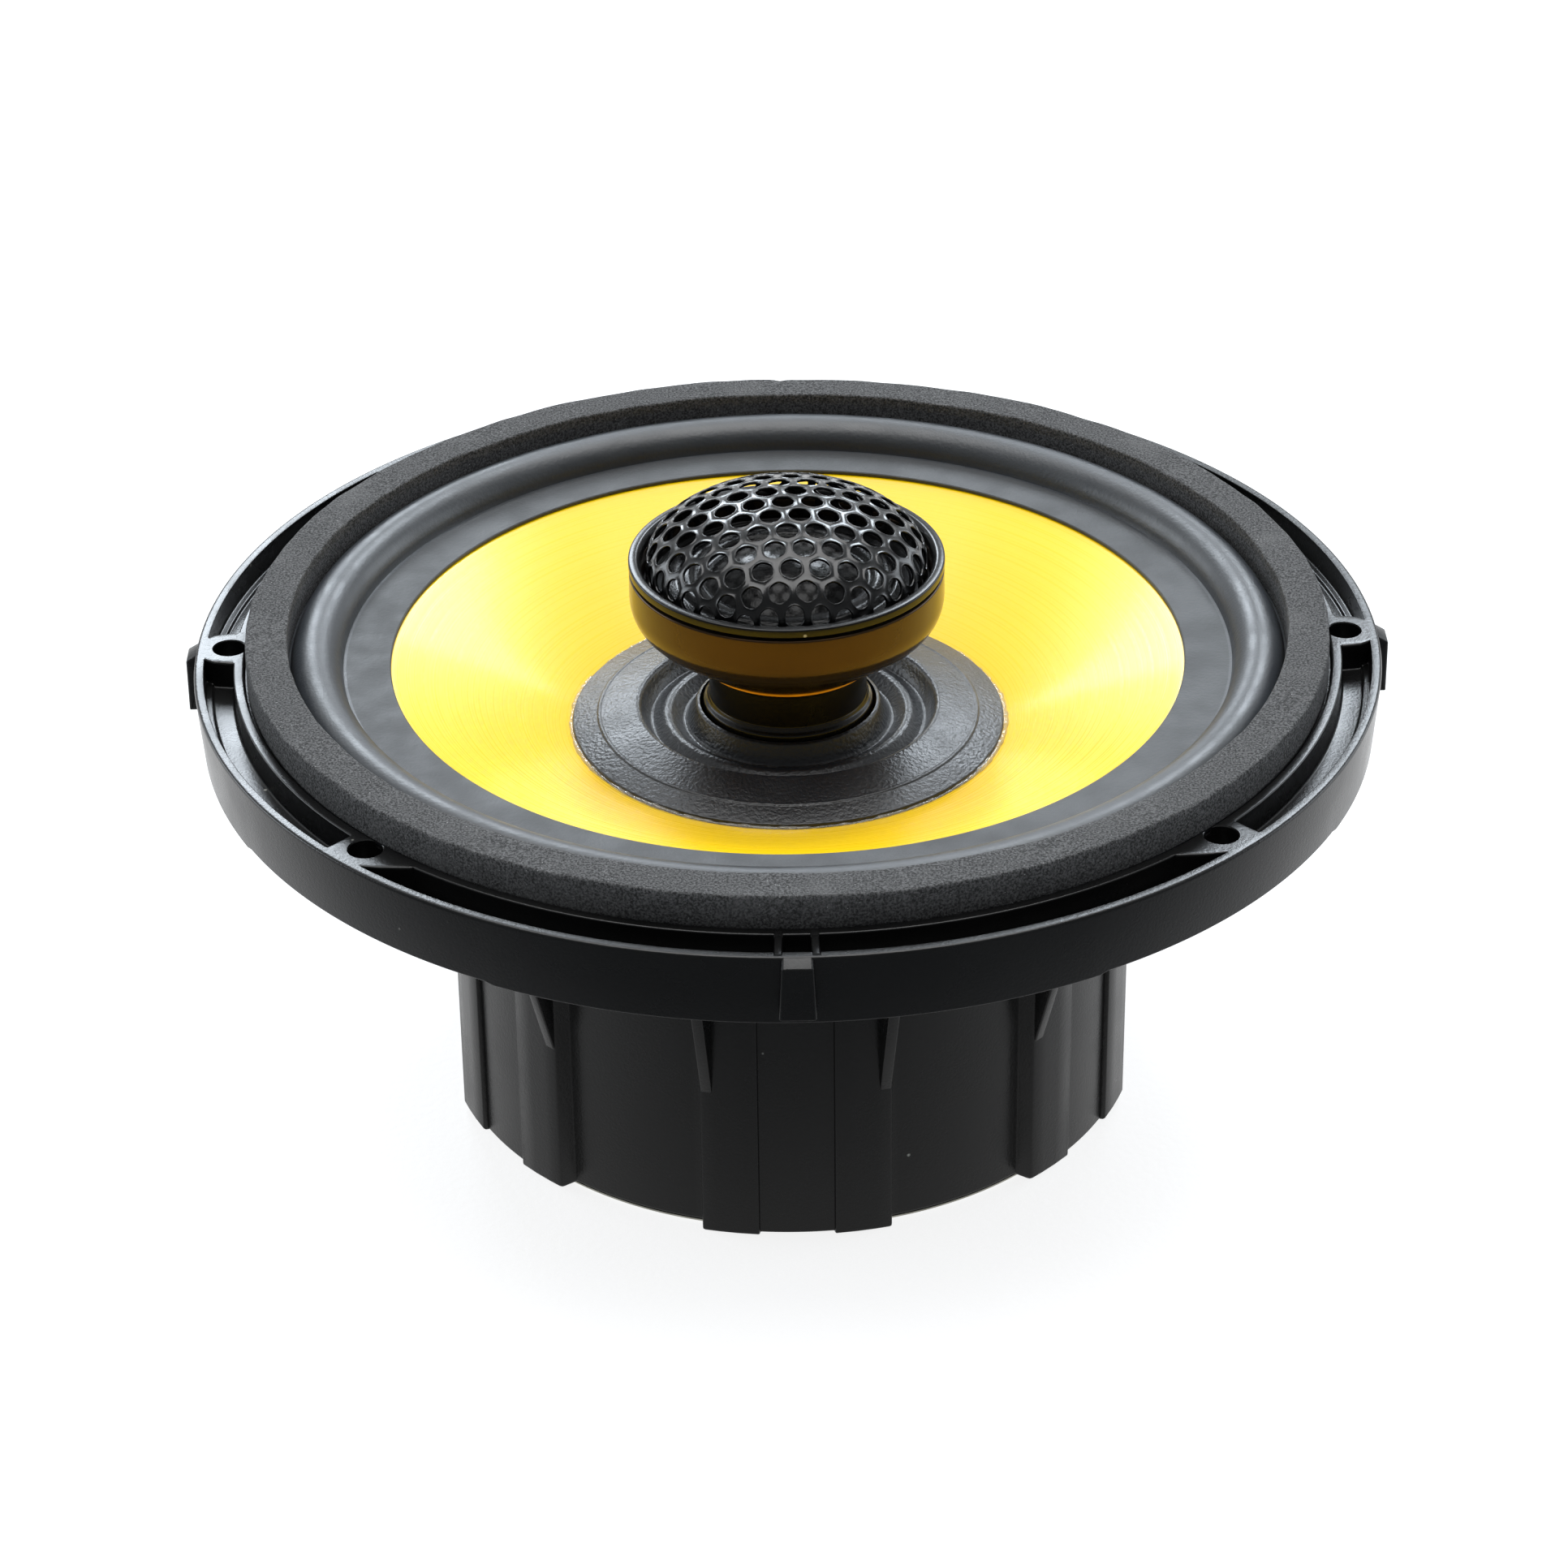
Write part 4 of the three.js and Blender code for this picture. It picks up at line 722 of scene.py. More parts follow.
def flange_columns(held):
    """Angle of each column of the grid at each radius, with its lift and height. Each raised span has a
    climb, a flat top and a descent that follow its edges, and steps of at most a degree lead to the next."""
    spans = raised_spans()
    angles, lifts = [], []
    for k, (centre, left, right, top, soft) in enumerate(spans):
        start = centre - np.degrees(left(held) / held)
        end = centre + np.degrees(right(held) / held)
        side = [(np.degrees(d * soft / held), w) for d, w in CLIMB]
        width = side[-1][0]
        after = spans[(k + 1) % len(spans)]
        following = after[0] + (360 if k == len(spans) - 1 else 0)
        following = following - np.degrees(after[1](held) / held)
        count = max(2, int(np.ceil((following - end).max())))
        flat = np.linspace(0, 1, 12 if soft == 1 else 3)[1:-1]
        between = np.linspace(0, 1, count + 1)[1:-1]
        angles += [start + d for d, w in side]
        angles += [start + width + (end - start - 2 * width) * f for f in flat]
        angles += [end - d for d, w in side[::-1]]
        angles += [end + (following - end) * f for f in between]
        lifts += [(w, top) for d, w in side] + [(1, top)] * len(flat)
        lifts += [(w, top) for d, w in side[::-1]] + [(0, RIM_TOP)] * len(between)
    return np.radians(np.array(angles)), np.array(lifts)


def flange():
    """Closed profile (r, z) round the axis; a channel point at height z rises to z + w (top - z), where w
    goes from 0 in the channel to 1 on a raised span. The skirt's foot is a step higher between the lugs."""
    outline = [(RIM_R - 2.7, SKIRT_FOOT), (RIM_R - 0.8, SKIRT_FOOT), (RIM_R - 0.02, RIM_TOP),
               (CHANNEL_OUT, RIM_TOP), (CHANNEL_OUT - 0.08, CHANNEL_FLOOR + 0.4),
               (CHANNEL_OUT - 1.0, CHANNEL_FLOOR + 0.4), (CHANNEL_OUT - 1.2, CHANNEL_FLOOR),
               (CHANNEL_IN + 0.1, CHANNEL_FLOOR), (CHANNEL_IN, RIM_TOP), (CHANNEL_IN - 1.4, RIM_TOP),
               (CHANNEL_IN - 1.45, SEAT), (69.2, SEAT), (68.6, UNDERSIDE), (RIM_R - 2.7, UNDERSIDE)]
    corner = [0.2, 0.35, 0.5, 0.12, 0.3, 0.25, 0.3, 0.35, 0.25, 0.25, 0.2, 0.3, 0.2, 0.8]
    r, z = rounded(outline, corner, 5).T
    channel = (r > CHANNEL_IN - 0.32) & (r < CHANNEL_OUT + 0.24) & (z > UNDERSIDE + 1)
    held = np.clip(r, CHANNEL_IN, CHANNEL_OUT)
    a, lifts = flange_columns(held)
    w, top = lifts.T
    height = np.where(channel, z + w[:, None] * (top[:, None] - z), z)
    quarter = np.degrees(a[:, :1]) % 90
    step = SKIRT_STEP * ((quarter > STEP_FROM) & (quarter < STEP_TO))
    height = height + np.where(z < SKIRT_FOOT + 0.5, step, 0)
    points = np.stack([r * np.sin(a), -r * np.cos(a), height], 2)
    return points.reshape(-1, 3), [grid_faces(len(a), len(r))]


flange_shape = flange()
print("flange:", len(flange_shape[0]), "points")

# %% [markdown]
# Four lugs stand on the skirt, to find the speaker's place in its cut-out. On the real basket they were
# moulded with it. Here they are closed plates with a sloping top, sunk a little in the skirt, which looks the
# same and needs no cut.

# %% Lugs
# an upright plate's outline runs outward at the front, then up, and its thickness goes across
UPRIGHT = [(0, -1, 0), (0, 0, 1), (1, 0, 0)]


def flange_lugs():
    """Locating lugs: upright plates with a sloping top. Their width is 1.03 less 0.02 for each millimetre
    above the foot, times the stated one."""
    outline = rounded([(RIM_R - 2, LUG_FOOT), (RIM_R + lug_reach, LUG_FOOT),
                       (RIM_R + lug_reach, RIM_TOP - 1.0), (RIM_R - 0.3, RIM_TOP - 0.04),
                       (RIM_R - 2, RIM_TOP - 0.3)], [0.2, 0.25, 0.25, 0.2, 0.2], 4)
    points, faces = slab(outline, -LUG_HALF, LUG_HALF, 0.4)
    points[:, 2] *= 1.03 - 0.02 * (points[:, 1] - LUG_FOOT)
    plate = placed((points, faces), UPRIGHT)
    return [turned_by(plate, angle) for angle in LUGS]


print("lugs:", len(flange_lugs()))

# %% [markdown]
# ## Basket: the bell
# Below the flange the basket flares in to a round bell. Six units of two raised pads, with a shallower band
# between them, run up it. Boxes could be joined to a turned bell, but where they enter the flare the seam
# would show. So the bell is one skin: in plan its radius changes with the angle, the same at every height
# until the flare swallows it.

# %% Bell surface
BELL_IN, BELL_R, PAD_R, BAND_R = 45.5, 47.5, 50.0, 49.3
SEAT_IN, SEAT_OUT = 41.5, 46.5               # seat of the spider on the ledge
BELL_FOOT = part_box("basket")[0].z / MM
LEDGE = reach("t_yoke")[2] + 8.6
FLARE_TOP_R, FLARE_TOP = RIM_R - 12.2, UNDERSIDE - 1.2
FLARE_SLOPE = (FLARE_TOP - LEDGE + 2) / (FLARE_TOP_R - BELL_R)
PAD_FROM, PAD_TO = 6.0, 15.0
UNITS = (0.0, 56.3, 123.7, 180.0, 236.3, 303.7)


def bell():
    """Radius at each angle and height: the larger of the turned profile and the plan outline of pads and
    bands, which has a small rounding at the foot."""
    flare_foot = LEDGE - 2
    flare_top = BELL_R + (UNDERSIDE + 1.5 - flare_foot) / FLARE_SLOPE
    inner_top = SEAT_OUT + (UNDERSIDE + 1.5 - LEDGE) / FLARE_SLOPE
    lower = rounded([(BELL_IN, BELL_FOOT), (BELL_R, BELL_FOOT), (BELL_R, flare_foot),
                     (flare_top, UNDERSIDE + 1.5)], [0.2, 0.5, 3, 0], 5, closed=False)
    rise = np.linspace(flare_foot + 1.6, flare_foot + 5.5, 14)
    flare = np.c_[BELL_R + (rise - flare_foot) / FLARE_SLOPE, rise]
    outer = np.concatenate([lower[:-1][lower[:-1, 1] < rise[0]], flare, lower[-1:]])
    inside = rounded([(inner_top, UNDERSIDE + 1.5), (SEAT_OUT, LEDGE), (SEAT_IN, LEDGE),
                      (SEAT_IN, LEDGE - 6.5), (17.5, LEDGE - 6.5), (17.5, LEDGE - 9), (BELL_IN, LEDGE - 9)],
                     [0, 0.8, 0.3, 0.5, 0.4, 0.4, 0.2], 3, closed=False)
    r, z = np.concatenate([outer, inside]).T
    outside = np.arange(len(r)) < len(outer)
    pad, band = PAD_R - BELL_R, BAND_R - BELL_R
    # half of a unit, from its outer edge to its middle: (degrees from the centre, height over the panel)
    half = [(-PAD_TO - 1.25, 0), (-PAD_TO - 0.95, 0.06), (-PAD_TO - 0.8, 0.3), (-PAD_TO - 0.25, pad - 0.4),
            (-PAD_TO - 0.1, pad - 0.12), (-PAD_TO + 0.25, pad), (-12.5, pad), (-9.5, pad),
            (-PAD_FROM - 0.25, pad), (-PAD_FROM - 0.08, pad - 0.08), (-PAD_FROM, pad - 0.3),
            (-PAD_FROM + 0.05, band + 0.04), (-PAD_FROM + 0.3, band), (-4.5, band), (-3, band), (-1.5, band)]
    unit = np.array(half + [(0, band)] + [(-angle, height) for angle, height in half[::-1]])
    plan = []
    for centre, after in zip(UNITS, UNITS[1:] + (360.0,)):
        panel = np.linspace(centre + PAD_TO + 1.25, after - PAD_TO - 1.25, 20)[1:-1]
        plan += [unit + (centre, 0), np.c_[panel, 0 * panel]]
    plan = np.concatenate(plan)
    a, bump = np.radians(plan[:, 0]), plan[:, 1]
    foot = np.clip((z - BELL_FOOT) / 0.5, 0, 1)
    foot = np.sqrt(1 - (1 - foot) ** 2)
    wide = BELL_R + bump[:, None] - 0.5 * (1 - foot)
    radius = np.where(outside & (r > BELL_R - 1.2), np.maximum(r, np.where(bump[:, None] > 0, wide, 0)), r)
    points = np.stack([radius * np.sin(a)[:, None], -radius * np.cos(a)[:, None],
                       np.repeat(z[None], len(a), 0)], 2)
    return points.reshape(-1, 3), [grid_faces(len(a), len(r))]


print("bell:", len(bell()[0]), "points")

# %% [markdown]
# Thin gusset webs rise from the outer side of each pad and lean outward. They brace the bell against the
# flare. Each is a flat plate, so it is drawn once and turned to its place.

# %% Gusset webs
# half of a web's thickness
WEB_HALF = 0.8


def webs():
    """Gusset webs, one at the outer side of each pad: a long triangle that leans outward as it rises."""
    outline = rounded([(46.8, 23.2), (PAD_R + 0.02, 23.7), (56.6, 46.46), (56.1, 46.46), (46.8, 38)],
                      [0.2, 0.5, 0.2, 0.2, 0.2], 3)
    web = placed(slab(outline, -WEB_HALF, WEB_HALF, 0.22), UPRIGHT)
    inset = math.degrees(WEB_HALF / PAD_R)
    return [turned_by(web, centre + side * (PAD_TO - inset)) for centre in UNITS for side in (-1, 1)]


print("webs:", len(webs()))

# %% [markdown]
# The screw holes go right through the flange, whose grid has no edge there, so they are cut with a boolean.
# It needs clean closed shapes. So only the flange is cut, before the bell and the small parts join it.


# %% Screw holes
def baked(obj):
    """The mesh of an object with its modifiers applied."""
    bpy.context.view_layer.update()
    return bpy.data.meshes.new_from_object(obj.evaluated_get(bpy.context.evaluated_depsgraph_get()))


def screw_hole(angle):
    """Cutter for one hole: a cylinder that flares at the top, for an eased edge."""
    profile = [(0, SKIRT_FOOT - 3), (HOLE_R, SKIRT_FOOT - 3), (HOLE_R, RIM_TOP - 0.15),
               (HOLE_R + 0.4, RIM_TOP + 0.3), (0, RIM_TOP + 0.3)]
    x = HOLE_CIRCLE * math.sin(math.radians(angle))
    y = -HOLE_CIRCLE * math.cos(math.radians(angle))
    return placed(turn(profile, 40, closed=False), np.eye(3), (x, y, 0))


def drilled_flange():
    """Cuts the six holes in the flange with a boolean, before anything else is joined to it."""
    blank = piece("flange_blank", [flange_shape], BASKET, None)
    drill = piece("drill", [screw_hole(angle) for angle in LANDS + BOSSES], BASKET, None)
    cut = blank.modifiers.new("holes", "BOOLEAN")
    cut.operation, cut.object, cut.solver = "DIFFERENCE", drill, "EXACT"
    mesh = baked(blank)
    bpy.data.objects.remove(blank)
    bpy.data.objects.remove(drill)
    return mesh


drilled = drilled_flange()
print("drilled flange:", len(drilled.polygons), "faces")

# %% [markdown]
# The real basket is one moulding, and it is one node of the CAD model. Closed shapes that overlap look like
# one, so the flange, the bell, the webs, the lugs and the block for the terminals share one object.


# %% Basket
def box_outline(x, y, radius):
    """Rectangle in plan, from -x to x and over the two y values, with rounded corners."""
    return rounded([(-x, y[0]), (x, y[0]), (x, y[1]), (-x, y[1])], radius, 4)


def box_of(node):
    """Lowest and highest corner of a CAD node, in millimetres."""
    low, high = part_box(node)
    return np.array(low) / MM, np.array(high) / MM


BOARD_HALF = 17.0
board_low, board_high = box_of("terminal_board")
terminal_block = slab(box_outline(BOARD_HALF, (46, board_low[1] - 0.1), 0.8),
                      board_low[2] - 0.8, board_high[2] + 0.8, 0.4)
basket = piece("basket_moulding", [bell(), terminal_block] + flange_lugs() + webs(), BASKET, FRAME,
               ["basket"])
both = bmesh.new()
both.from_mesh(basket.data)
both.from_mesh(drilled)
both.to_mesh(basket.data)
both.free()
basket.data.shade_smooth()
basket.data.set_sharp_from_angle(angle=math.radians(38))
print("basket:", len(basket.data.polygons), "faces")

# %% [markdown]
# ## Gasket, surround, cone and dust seal
# The foam gasket is cut from a sheet, so its walls are straight and its edges a little uneven. A random
# wobble would jump where the ring closes. A sum of cosines round the axis doesn't, since each has a whole
# number of waves. A shallow notch at the back is where the ends of the strip meet.


# %% Gasket
def waves(angle, counts, sizes, phases):
    """Sum of cosines round the axis, each with its own count, size and phase."""
    return sum(s * np.cos(n * angle + p) for n, s, p in zip(counts, sizes, phases))


def gasket():
    """Square-cut ring whose walls and top shift by sums of waves, more toward the top, with a notch of
    the form exp(-x^2) where the strip's ends meet."""
    radius, low, high = reach("foam_gasket")
    inner = 69.4
    edge = 0.35
    profile = rounded([(inner, low), (radius, low), (radius, high), (inner, high)],
                      [0.1, 0.1, edge, edge], 4)
    profile = np.concatenate([np.linspace(profile[i], profile[(i + 1) % len(profile)], 4, endpoint=False)
                              if np.linalg.norm(profile[i] - profile[(i + 1) % len(profile)]) > 2
                              else profile[i:i + 1] for i in range(len(profile))])
    points, faces = turn(profile, 540)
    a = np.arctan2(points[:, 0], -points[:, 1])
    r = np.hypot(points[:, 0], points[:, 1])
    upper = np.clip((points[:, 2] - low) / (high - low), 0, 1)
    outside = np.where(r > (inner + radius) / 2, 1, -1)
    wander = waves(a, (5, 13, 31, 57, 83), (0.10, 0.06, 0.05, 0.04, 0.03), (0.4, 2.0, 1.1, 0.3, 4.0))
    joint = np.exp(-((np.abs(a) - np.pi) * radius / 0.8) ** 2)
    shift = np.minimum(outside * wander - 0.2, 0) * 0.8 * upper - joint * 0.3 * (outside > 0)
    shift = np.where(outside > 0, shift, np.maximum(-wander * 0.8, -0.05) * upper)
    droop = waves(a, (7, 19, 43), (0.06, 0.05, 0.03), (1.0, 0.2, 2.2)) - 0.12 - joint * 0.1
    scale = (r + shift) / r
    points = points * np.c_[scale, scale, np.ones(len(r))] + np.c_[0 * r, 0 * r, upper * np.minimum(droop, 0)]
    return points, faces


piece("gasket", [gasket()], FOAM, FRAME, ["foam_gasket"])


# %% [markdown]
# The surround is a half roll of rubber between two flat lips. It bends as the cone moves; here it is made at
# rest and rides on no moving body.


# %% Helpers for the surround
def second_finish(obj, finish, chosen):
    """Gives a second finish to the faces whose radius and height, in millimetres, pass a test."""
    obj.data.materials.append(finish)
    faces = [face for face in obj.data.polygons
             if chosen(math.hypot(face.center.x, face.center.y) / MM, face.center.z / MM)]
    for face in faces:
        face.material_index = 1
    print(f"{obj.name}: {len(faces)} faces in {finish.name}")


def blend_by_radius(obj):
    """Bakes the object's place into its mesh, and reads the coordinates of its points."""
    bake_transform(obj)
    co = np.empty(len(obj.data.vertices) * 3, np.float32)
    obj.data.vertices.foreach_get("co", co)


# %% Surround
ROLL_OUT, ROLL_IN = 69.0, 62.0
CONE_EDGE_R = 55.3
cone_edge = reach("cone")[2]


def half_roll(outer_lip, inner_lip, roll, heights, crest, thickness, steps=26):
    """Upper line: flat lip, half ellipse (m + h cos t, base + crest sin t), flat lip. The lower line is the
    upper one less a thickness, with the ellipse narrower by it."""
    middle, half = (roll[0] + roll[1]) / 2, (roll[0] - roll[1]) / 2
    t = np.linspace(0, np.pi, steps)
    base = np.interp(t, [0, np.pi], heights)
    upper = np.c_[middle + half * np.cos(t), base + crest * np.sin(t)]
    lower = np.c_[middle + (half - thickness) * np.cos(t), base + (crest - thickness) * np.sin(t) - 0.02]
    blend_out = np.array([(roll[0] + 0.5, heights[0]), (roll[0] + 0.15, heights[0] + 0.04)])
    blend_in = np.array([(roll[1] - 0.12, heights[1] + 0.04), (roll[1] - 0.5, heights[1])])
    top = np.concatenate([[(outer_lip, heights[0])], blend_out, upper[1:-1], blend_in,
                          [(inner_lip + 0.15, heights[1]), (inner_lip, heights[1] - 0.12)]])
    under = np.concatenate([[(inner_lip, heights[1] - thickness)],
                            [(roll[1] + 0.2, heights[1] - thickness)], lower[::-1][1:-1],
                            [(roll[0] - 0.2, heights[0] - thickness)], [(outer_lip, heights[0] - thickness)]])
    return np.concatenate([top, under])


outer_lip_z = SEAT + 0.6
inner_lip_z = cone_edge + 0.6
surround_line = half_roll(75.0, CONE_EDGE_R, (ROLL_OUT, ROLL_IN), (outer_lip_z, inner_lip_z), 3.4, 0.5)
surround = piece("surround_roll", [turn(surround_line, 288)], RUBBER, None, ["surround"])
second_finish(surround, LIP, lambda radius, height: radius < ROLL_IN - 0.4)
blend_by_radius(surround)

# %% [markdown]
# The cone was pressed or spun from a thin sheet. It runs straight from its edge down to the neck, and it is a
# turned profile with a front, a back and closed ends, so it has a real thickness. The rings that it shows
# come from its finish.

# %% Cone
cone_low = reach("cone")[1]
NECK_R = 13.3
CONE_OUT = 60.6                              # the flange under the surround's lip
CONE_SLOPE, CONE_SHEET = 0.43, 0.5


def cone_height(r):
    """Height of the cone's front face: the edge height less the slope times the way inward."""
    return cone_edge - (CONE_EDGE_R - r) * CONE_SLOPE


cone_line = rounded([(NECK_R, cone_low), (NECK_R + CONE_SHEET, cone_low),
                     (NECK_R + CONE_SHEET, cone_height(NECK_R) - CONE_SHEET),
                     (CONE_EDGE_R, cone_edge - CONE_SHEET), (CONE_OUT, cone_edge - CONE_SHEET),
                     (CONE_OUT, cone_edge), (CONE_EDGE_R, cone_edge), (NECK_R, cone_height(NECK_R))],
                    [0.1, 0.1, 0.6, 0.6, 0.1, 0.1, 0.6, 0.5], 4)
piece("cone_sheet", [turn(cone_line, 360)], CONE, WOOFER, ["cone"])

# %% [markdown]
# The dust seal is a moulded ring glued on the cone: a wide slope with a fine raised line, an edge, a deep
# groove, a small roll and a collar. Only its upper line is drawn, and the lower one is the same line a
# thickness down. The bead of clear glue round its edge was laid by hand. A torus would be too even, so the
# bead's section has a size of its own at each angle.

# %% Dust seal
seal_out = reach("dust_seal_ring")[0]
SEAL_SLOPE, SEAL_SHEET = 0.245, 0.5
seal_edge = cone_height(seal_out) + 0.7
seal_step = seal_edge + (seal_out - 20.8) * SEAL_SLOPE


def dust_seal():
    """Upper line as points, rounded at the breaks; the lower line is the same, one thickness down."""
    line = [(seal_out, seal_edge - 0.55), (seal_out - 0.08, seal_edge), (26.9, seal_edge + 3.5 * SEAL_SLOPE),
            (26.75, seal_edge + 3.65 * SEAL_SLOPE + 0.12), (26.45, seal_edge + 3.95 * SEAL_SLOPE + 0.12),
            (26.3, seal_edge + 4.1 * SEAL_SLOPE), (20.9, seal_step - 0.02), (20.1, seal_step - 1.75),
            (19.3, seal_step - 2.75), (18.4, seal_step - 2.2), (17.4, seal_step - 1.5),
            (16.6, seal_step - 1.42), (15.7, seal_step - 2.1), (14.7, seal_step - 2.85),
            (14.2, seal_step - 2.6), (12.9, seal_step + 0.02), (12.45, seal_step + 0.15)]
    easing = [0, 0.2, 0.15, 0.1, 0.1, 0.15, 0.7, 0.6, 0.7, 0.5, 0.5, 0.5, 0.5, 0.45, 0.4, 0.4, 0]
    upper = rounded(line, easing, 5, closed=False)
    return np.concatenate([upper, upper[::-1] - (0, SEAL_SHEET)])


piece("dust_seal", [turn(dust_seal(), 288)], SEAL, WOOFER, ["dust_seal_ring"])


# %% Glue bead
def glue_bead(radius, columns=720):
    """Ring whose round section has its own size at each angle: 0.3 mm times (1 + waves), and whose middle
    wanders a little."""
    a = np.linspace(0, 2 * np.pi, columns, endpoint=False)
    size = 0.30 * (1 + waves(a, (3, 11, 29, 71, 113), (0.25, 0.2, 0.18, 0.15, 0.1), (2.2, 1, 0, 2, 5)))
    size = np.maximum(size, 0.1)
    ring = radius + waves(a, (4, 17), (0.05, 0.04), (0.5, 1.0))
    t = np.linspace(0, 2 * np.pi, 10, endpoint=False)
    r = ring[:, None] + size[:, None] * np.cos(t) * 1.2
    z = cone_height(ring)[:, None] + 0.12 + size[:, None] * np.sin(t)
    points = np.stack([r * np.sin(a)[:, None], -r * np.cos(a)[:, None], z], 2)
    return points.reshape(-1, 3), [grid_faces(columns, len(t))]


piece("glue_bead", [glue_bead(seal_out + 0.12)], GLUE, WOOFER)

# %% [markdown]
# ## Stem and tweeter head
# Turned and moulded pieces again: the stem with a ring at its foot, the cup with its taper and band, a fine
# groove, and the bezel whose top edge catches the light. The groove isn't cut, since it is the gap that the
# bezel's foot leaves over the cup. A thin edge at the cup's foot has an amber glow painted into its colour,
# and takes a finish of its own by the place of its faces.

# %% Stem
_, stem_low, stem_high = reach("stem")
head_low = reach("tweeter_cup")[1]
foot_top = RIM_TOP - 8.5
STEM_BORE, SHANK_R, SPIGOT_R = 1.65, 3.0, 5.0    # the leads' bore, the part in the pole, and in the cup
POST_FOOT, FOOT_R, RING_R, POST_R = 31.5, 11.7, 11.9, 11.05
stem_line = rounded([(STEM_BORE, stem_low), (SHANK_R, stem_low), (SHANK_R, POST_FOOT), (FOOT_R, POST_FOOT),
                     (FOOT_R, foot_top - 1.5), (RING_R, foot_top - 1.4), (RING_R, foot_top - 0.5),
                     (POST_R + 0.3, foot_top - 0.1), (POST_R + 0.1, foot_top + 0.35),
                     (POST_R, foot_top + 0.5), (POST_R, head_low - 0.8), (POST_R + 0.2, head_low - 0.1),
                     (SPIGOT_R, head_low - 0.1), (SPIGOT_R, stem_high), (STEM_BORE, stem_high)],
                    [0.1, 0.2, 0.2, 0.3, 0.2, 0.2, 0.25, 0.25, 0.1, 0.2, 0.3, 0.15, 0.1, 0.3, 0.1], 4)
piece("stem_post", [turn(stem_line, 144)], STEM, FRAME, ["stem"])

# %% Cup
head_out, _, band_top = reach("tweeter_cup")
shoulder = head_low + 7.2
CUP_BORE, COLLAR_R, CUP_WALL = 5.3, 12.3, 1.6
cup_line = rounded([(CUP_BORE, head_low), (COLLAR_R, head_low), (COLLAR_R + 0.05, head_low + 0.45),
                    (COLLAR_R + 0.5, head_low + 0.6), (head_out, shoulder), (head_out - 0.05, band_top),
                    (head_out - CUP_WALL, band_top), (head_out - CUP_WALL, shoulder + 0.8),
                    (COLLAR_R + 1.5, head_low + 2.4), (CUP_BORE, head_low + 1.7)],
                   [0.2, 0.1, 0.1, 0.2, 3.6, 0.3, 0.2, 0.8, 0.8, 0.2], 8)
cup = piece("tweeter_housing", [turn(cup_line, 256)], HEAD, FRAME, ["tweeter_cup"])
# the amber on this thin edge is a painted glow
second_finish(cup, PAINTED_AMBER_GLOW, lambda radius, height: radius > COLLAR_R - 0.2 and 0.01 < height - head_low < 0.5)

# %% Bezel
bezel_out, bezel_low, bezel_high = reach("tweeter_bezel")
bezel_line = rounded([(20.2, bezel_low), (bezel_out - 0.45, bezel_low), (bezel_out - 0.45, bezel_low + 0.15),
                      (bezel_out, bezel_low + 0.3), (bezel_out, bezel_high - 0.1),
                      (bezel_out - 0.5, bezel_high), (20.75, bezel_high), (20.2, bezel_high - 0.6)],
                     [0.05, 0.1, 0.08, 0.12, 0.4, 0.3, 0.45, 0.3], 5)
piece("tweeter_ring", [turn(bezel_line, 256)], BEZEL, FRAME, ["tweeter_bezel"])

# %% [markdown]
# ## Perforated cap
# A real cap starts as a flat sheet with holes in rows, and is then drawn over a dome. It is made the same
# way here. One hexagonal cell is a set of rings from the round hole out to the hexagon, raised a little at
# the hole's rim. The cell is laid out over a flat hexagonal grid. Then each point at distance s from the
# middle goes to the point of the dome's line at that distance, so the holes keep their size along the
# curve. Solidify gives the sheet its thickness last.

# %% Sizes of the cap, and the dome's line
PITCH, CAP_HOLE = 4.03, 1.51
cap_out, cap_low, cap_high = reach("tweeter_grille")
CAP_TURN, CAP_SHIFT = 3.8, (-0.41, -1.0)
CAP_SKIRT, CAP_SHEET = 2.8, 0.4
CROWN_R, CROWN_TO = 33.0, 13.6          # radius of the crown, and how far out it goes


def cap_curve(steps=300):
    """The dome's line from its top: a crown z = top - R (1 - cos a), r = R sin a, then a tighter arc down
    to the foot, and a straight skirt. Returns the distance along it, its points, and the normals."""
    top, wide, foot_z = cap_high - 0.12, cap_out - 0.12, cap_low + CAP_SKIRT
    turn_at = math.asin(CROWN_TO / CROWN_R)
    a = np.linspace(0, turn_at, steps)
    crown = np.c_[CROWN_R * np.sin(a), top - CROWN_R * (1 - np.cos(a))]
    t = np.linspace(0, 1, steps)[:, None]
    start, end = crown[-1], np.array([wide, foot_z])
    way = np.array([math.cos(turn_at), -math.sin(turn_at)])
    bend = start + way * (wide - start[0]) / way[0] * 0.96
    side = (1 - t) ** 2 * start + 2 * t * (1 - t) * bend + t ** 2 * end
    line = np.concatenate([crown, side[1:], [(wide, cap_low)]])
    s = np.r_[0, np.cumsum(np.linalg.norm(np.diff(line, axis=0), axis=1))]
    tangent = np.gradient(line, s, axis=0)
    tangent /= np.linalg.norm(tangent, axis=1)[:, None]
    return s, line, np.c_[-tangent[:, 1], tangent[:, 0]]


print("along the dome's line:", round(cap_curve()[0][-1], 2), "mm")


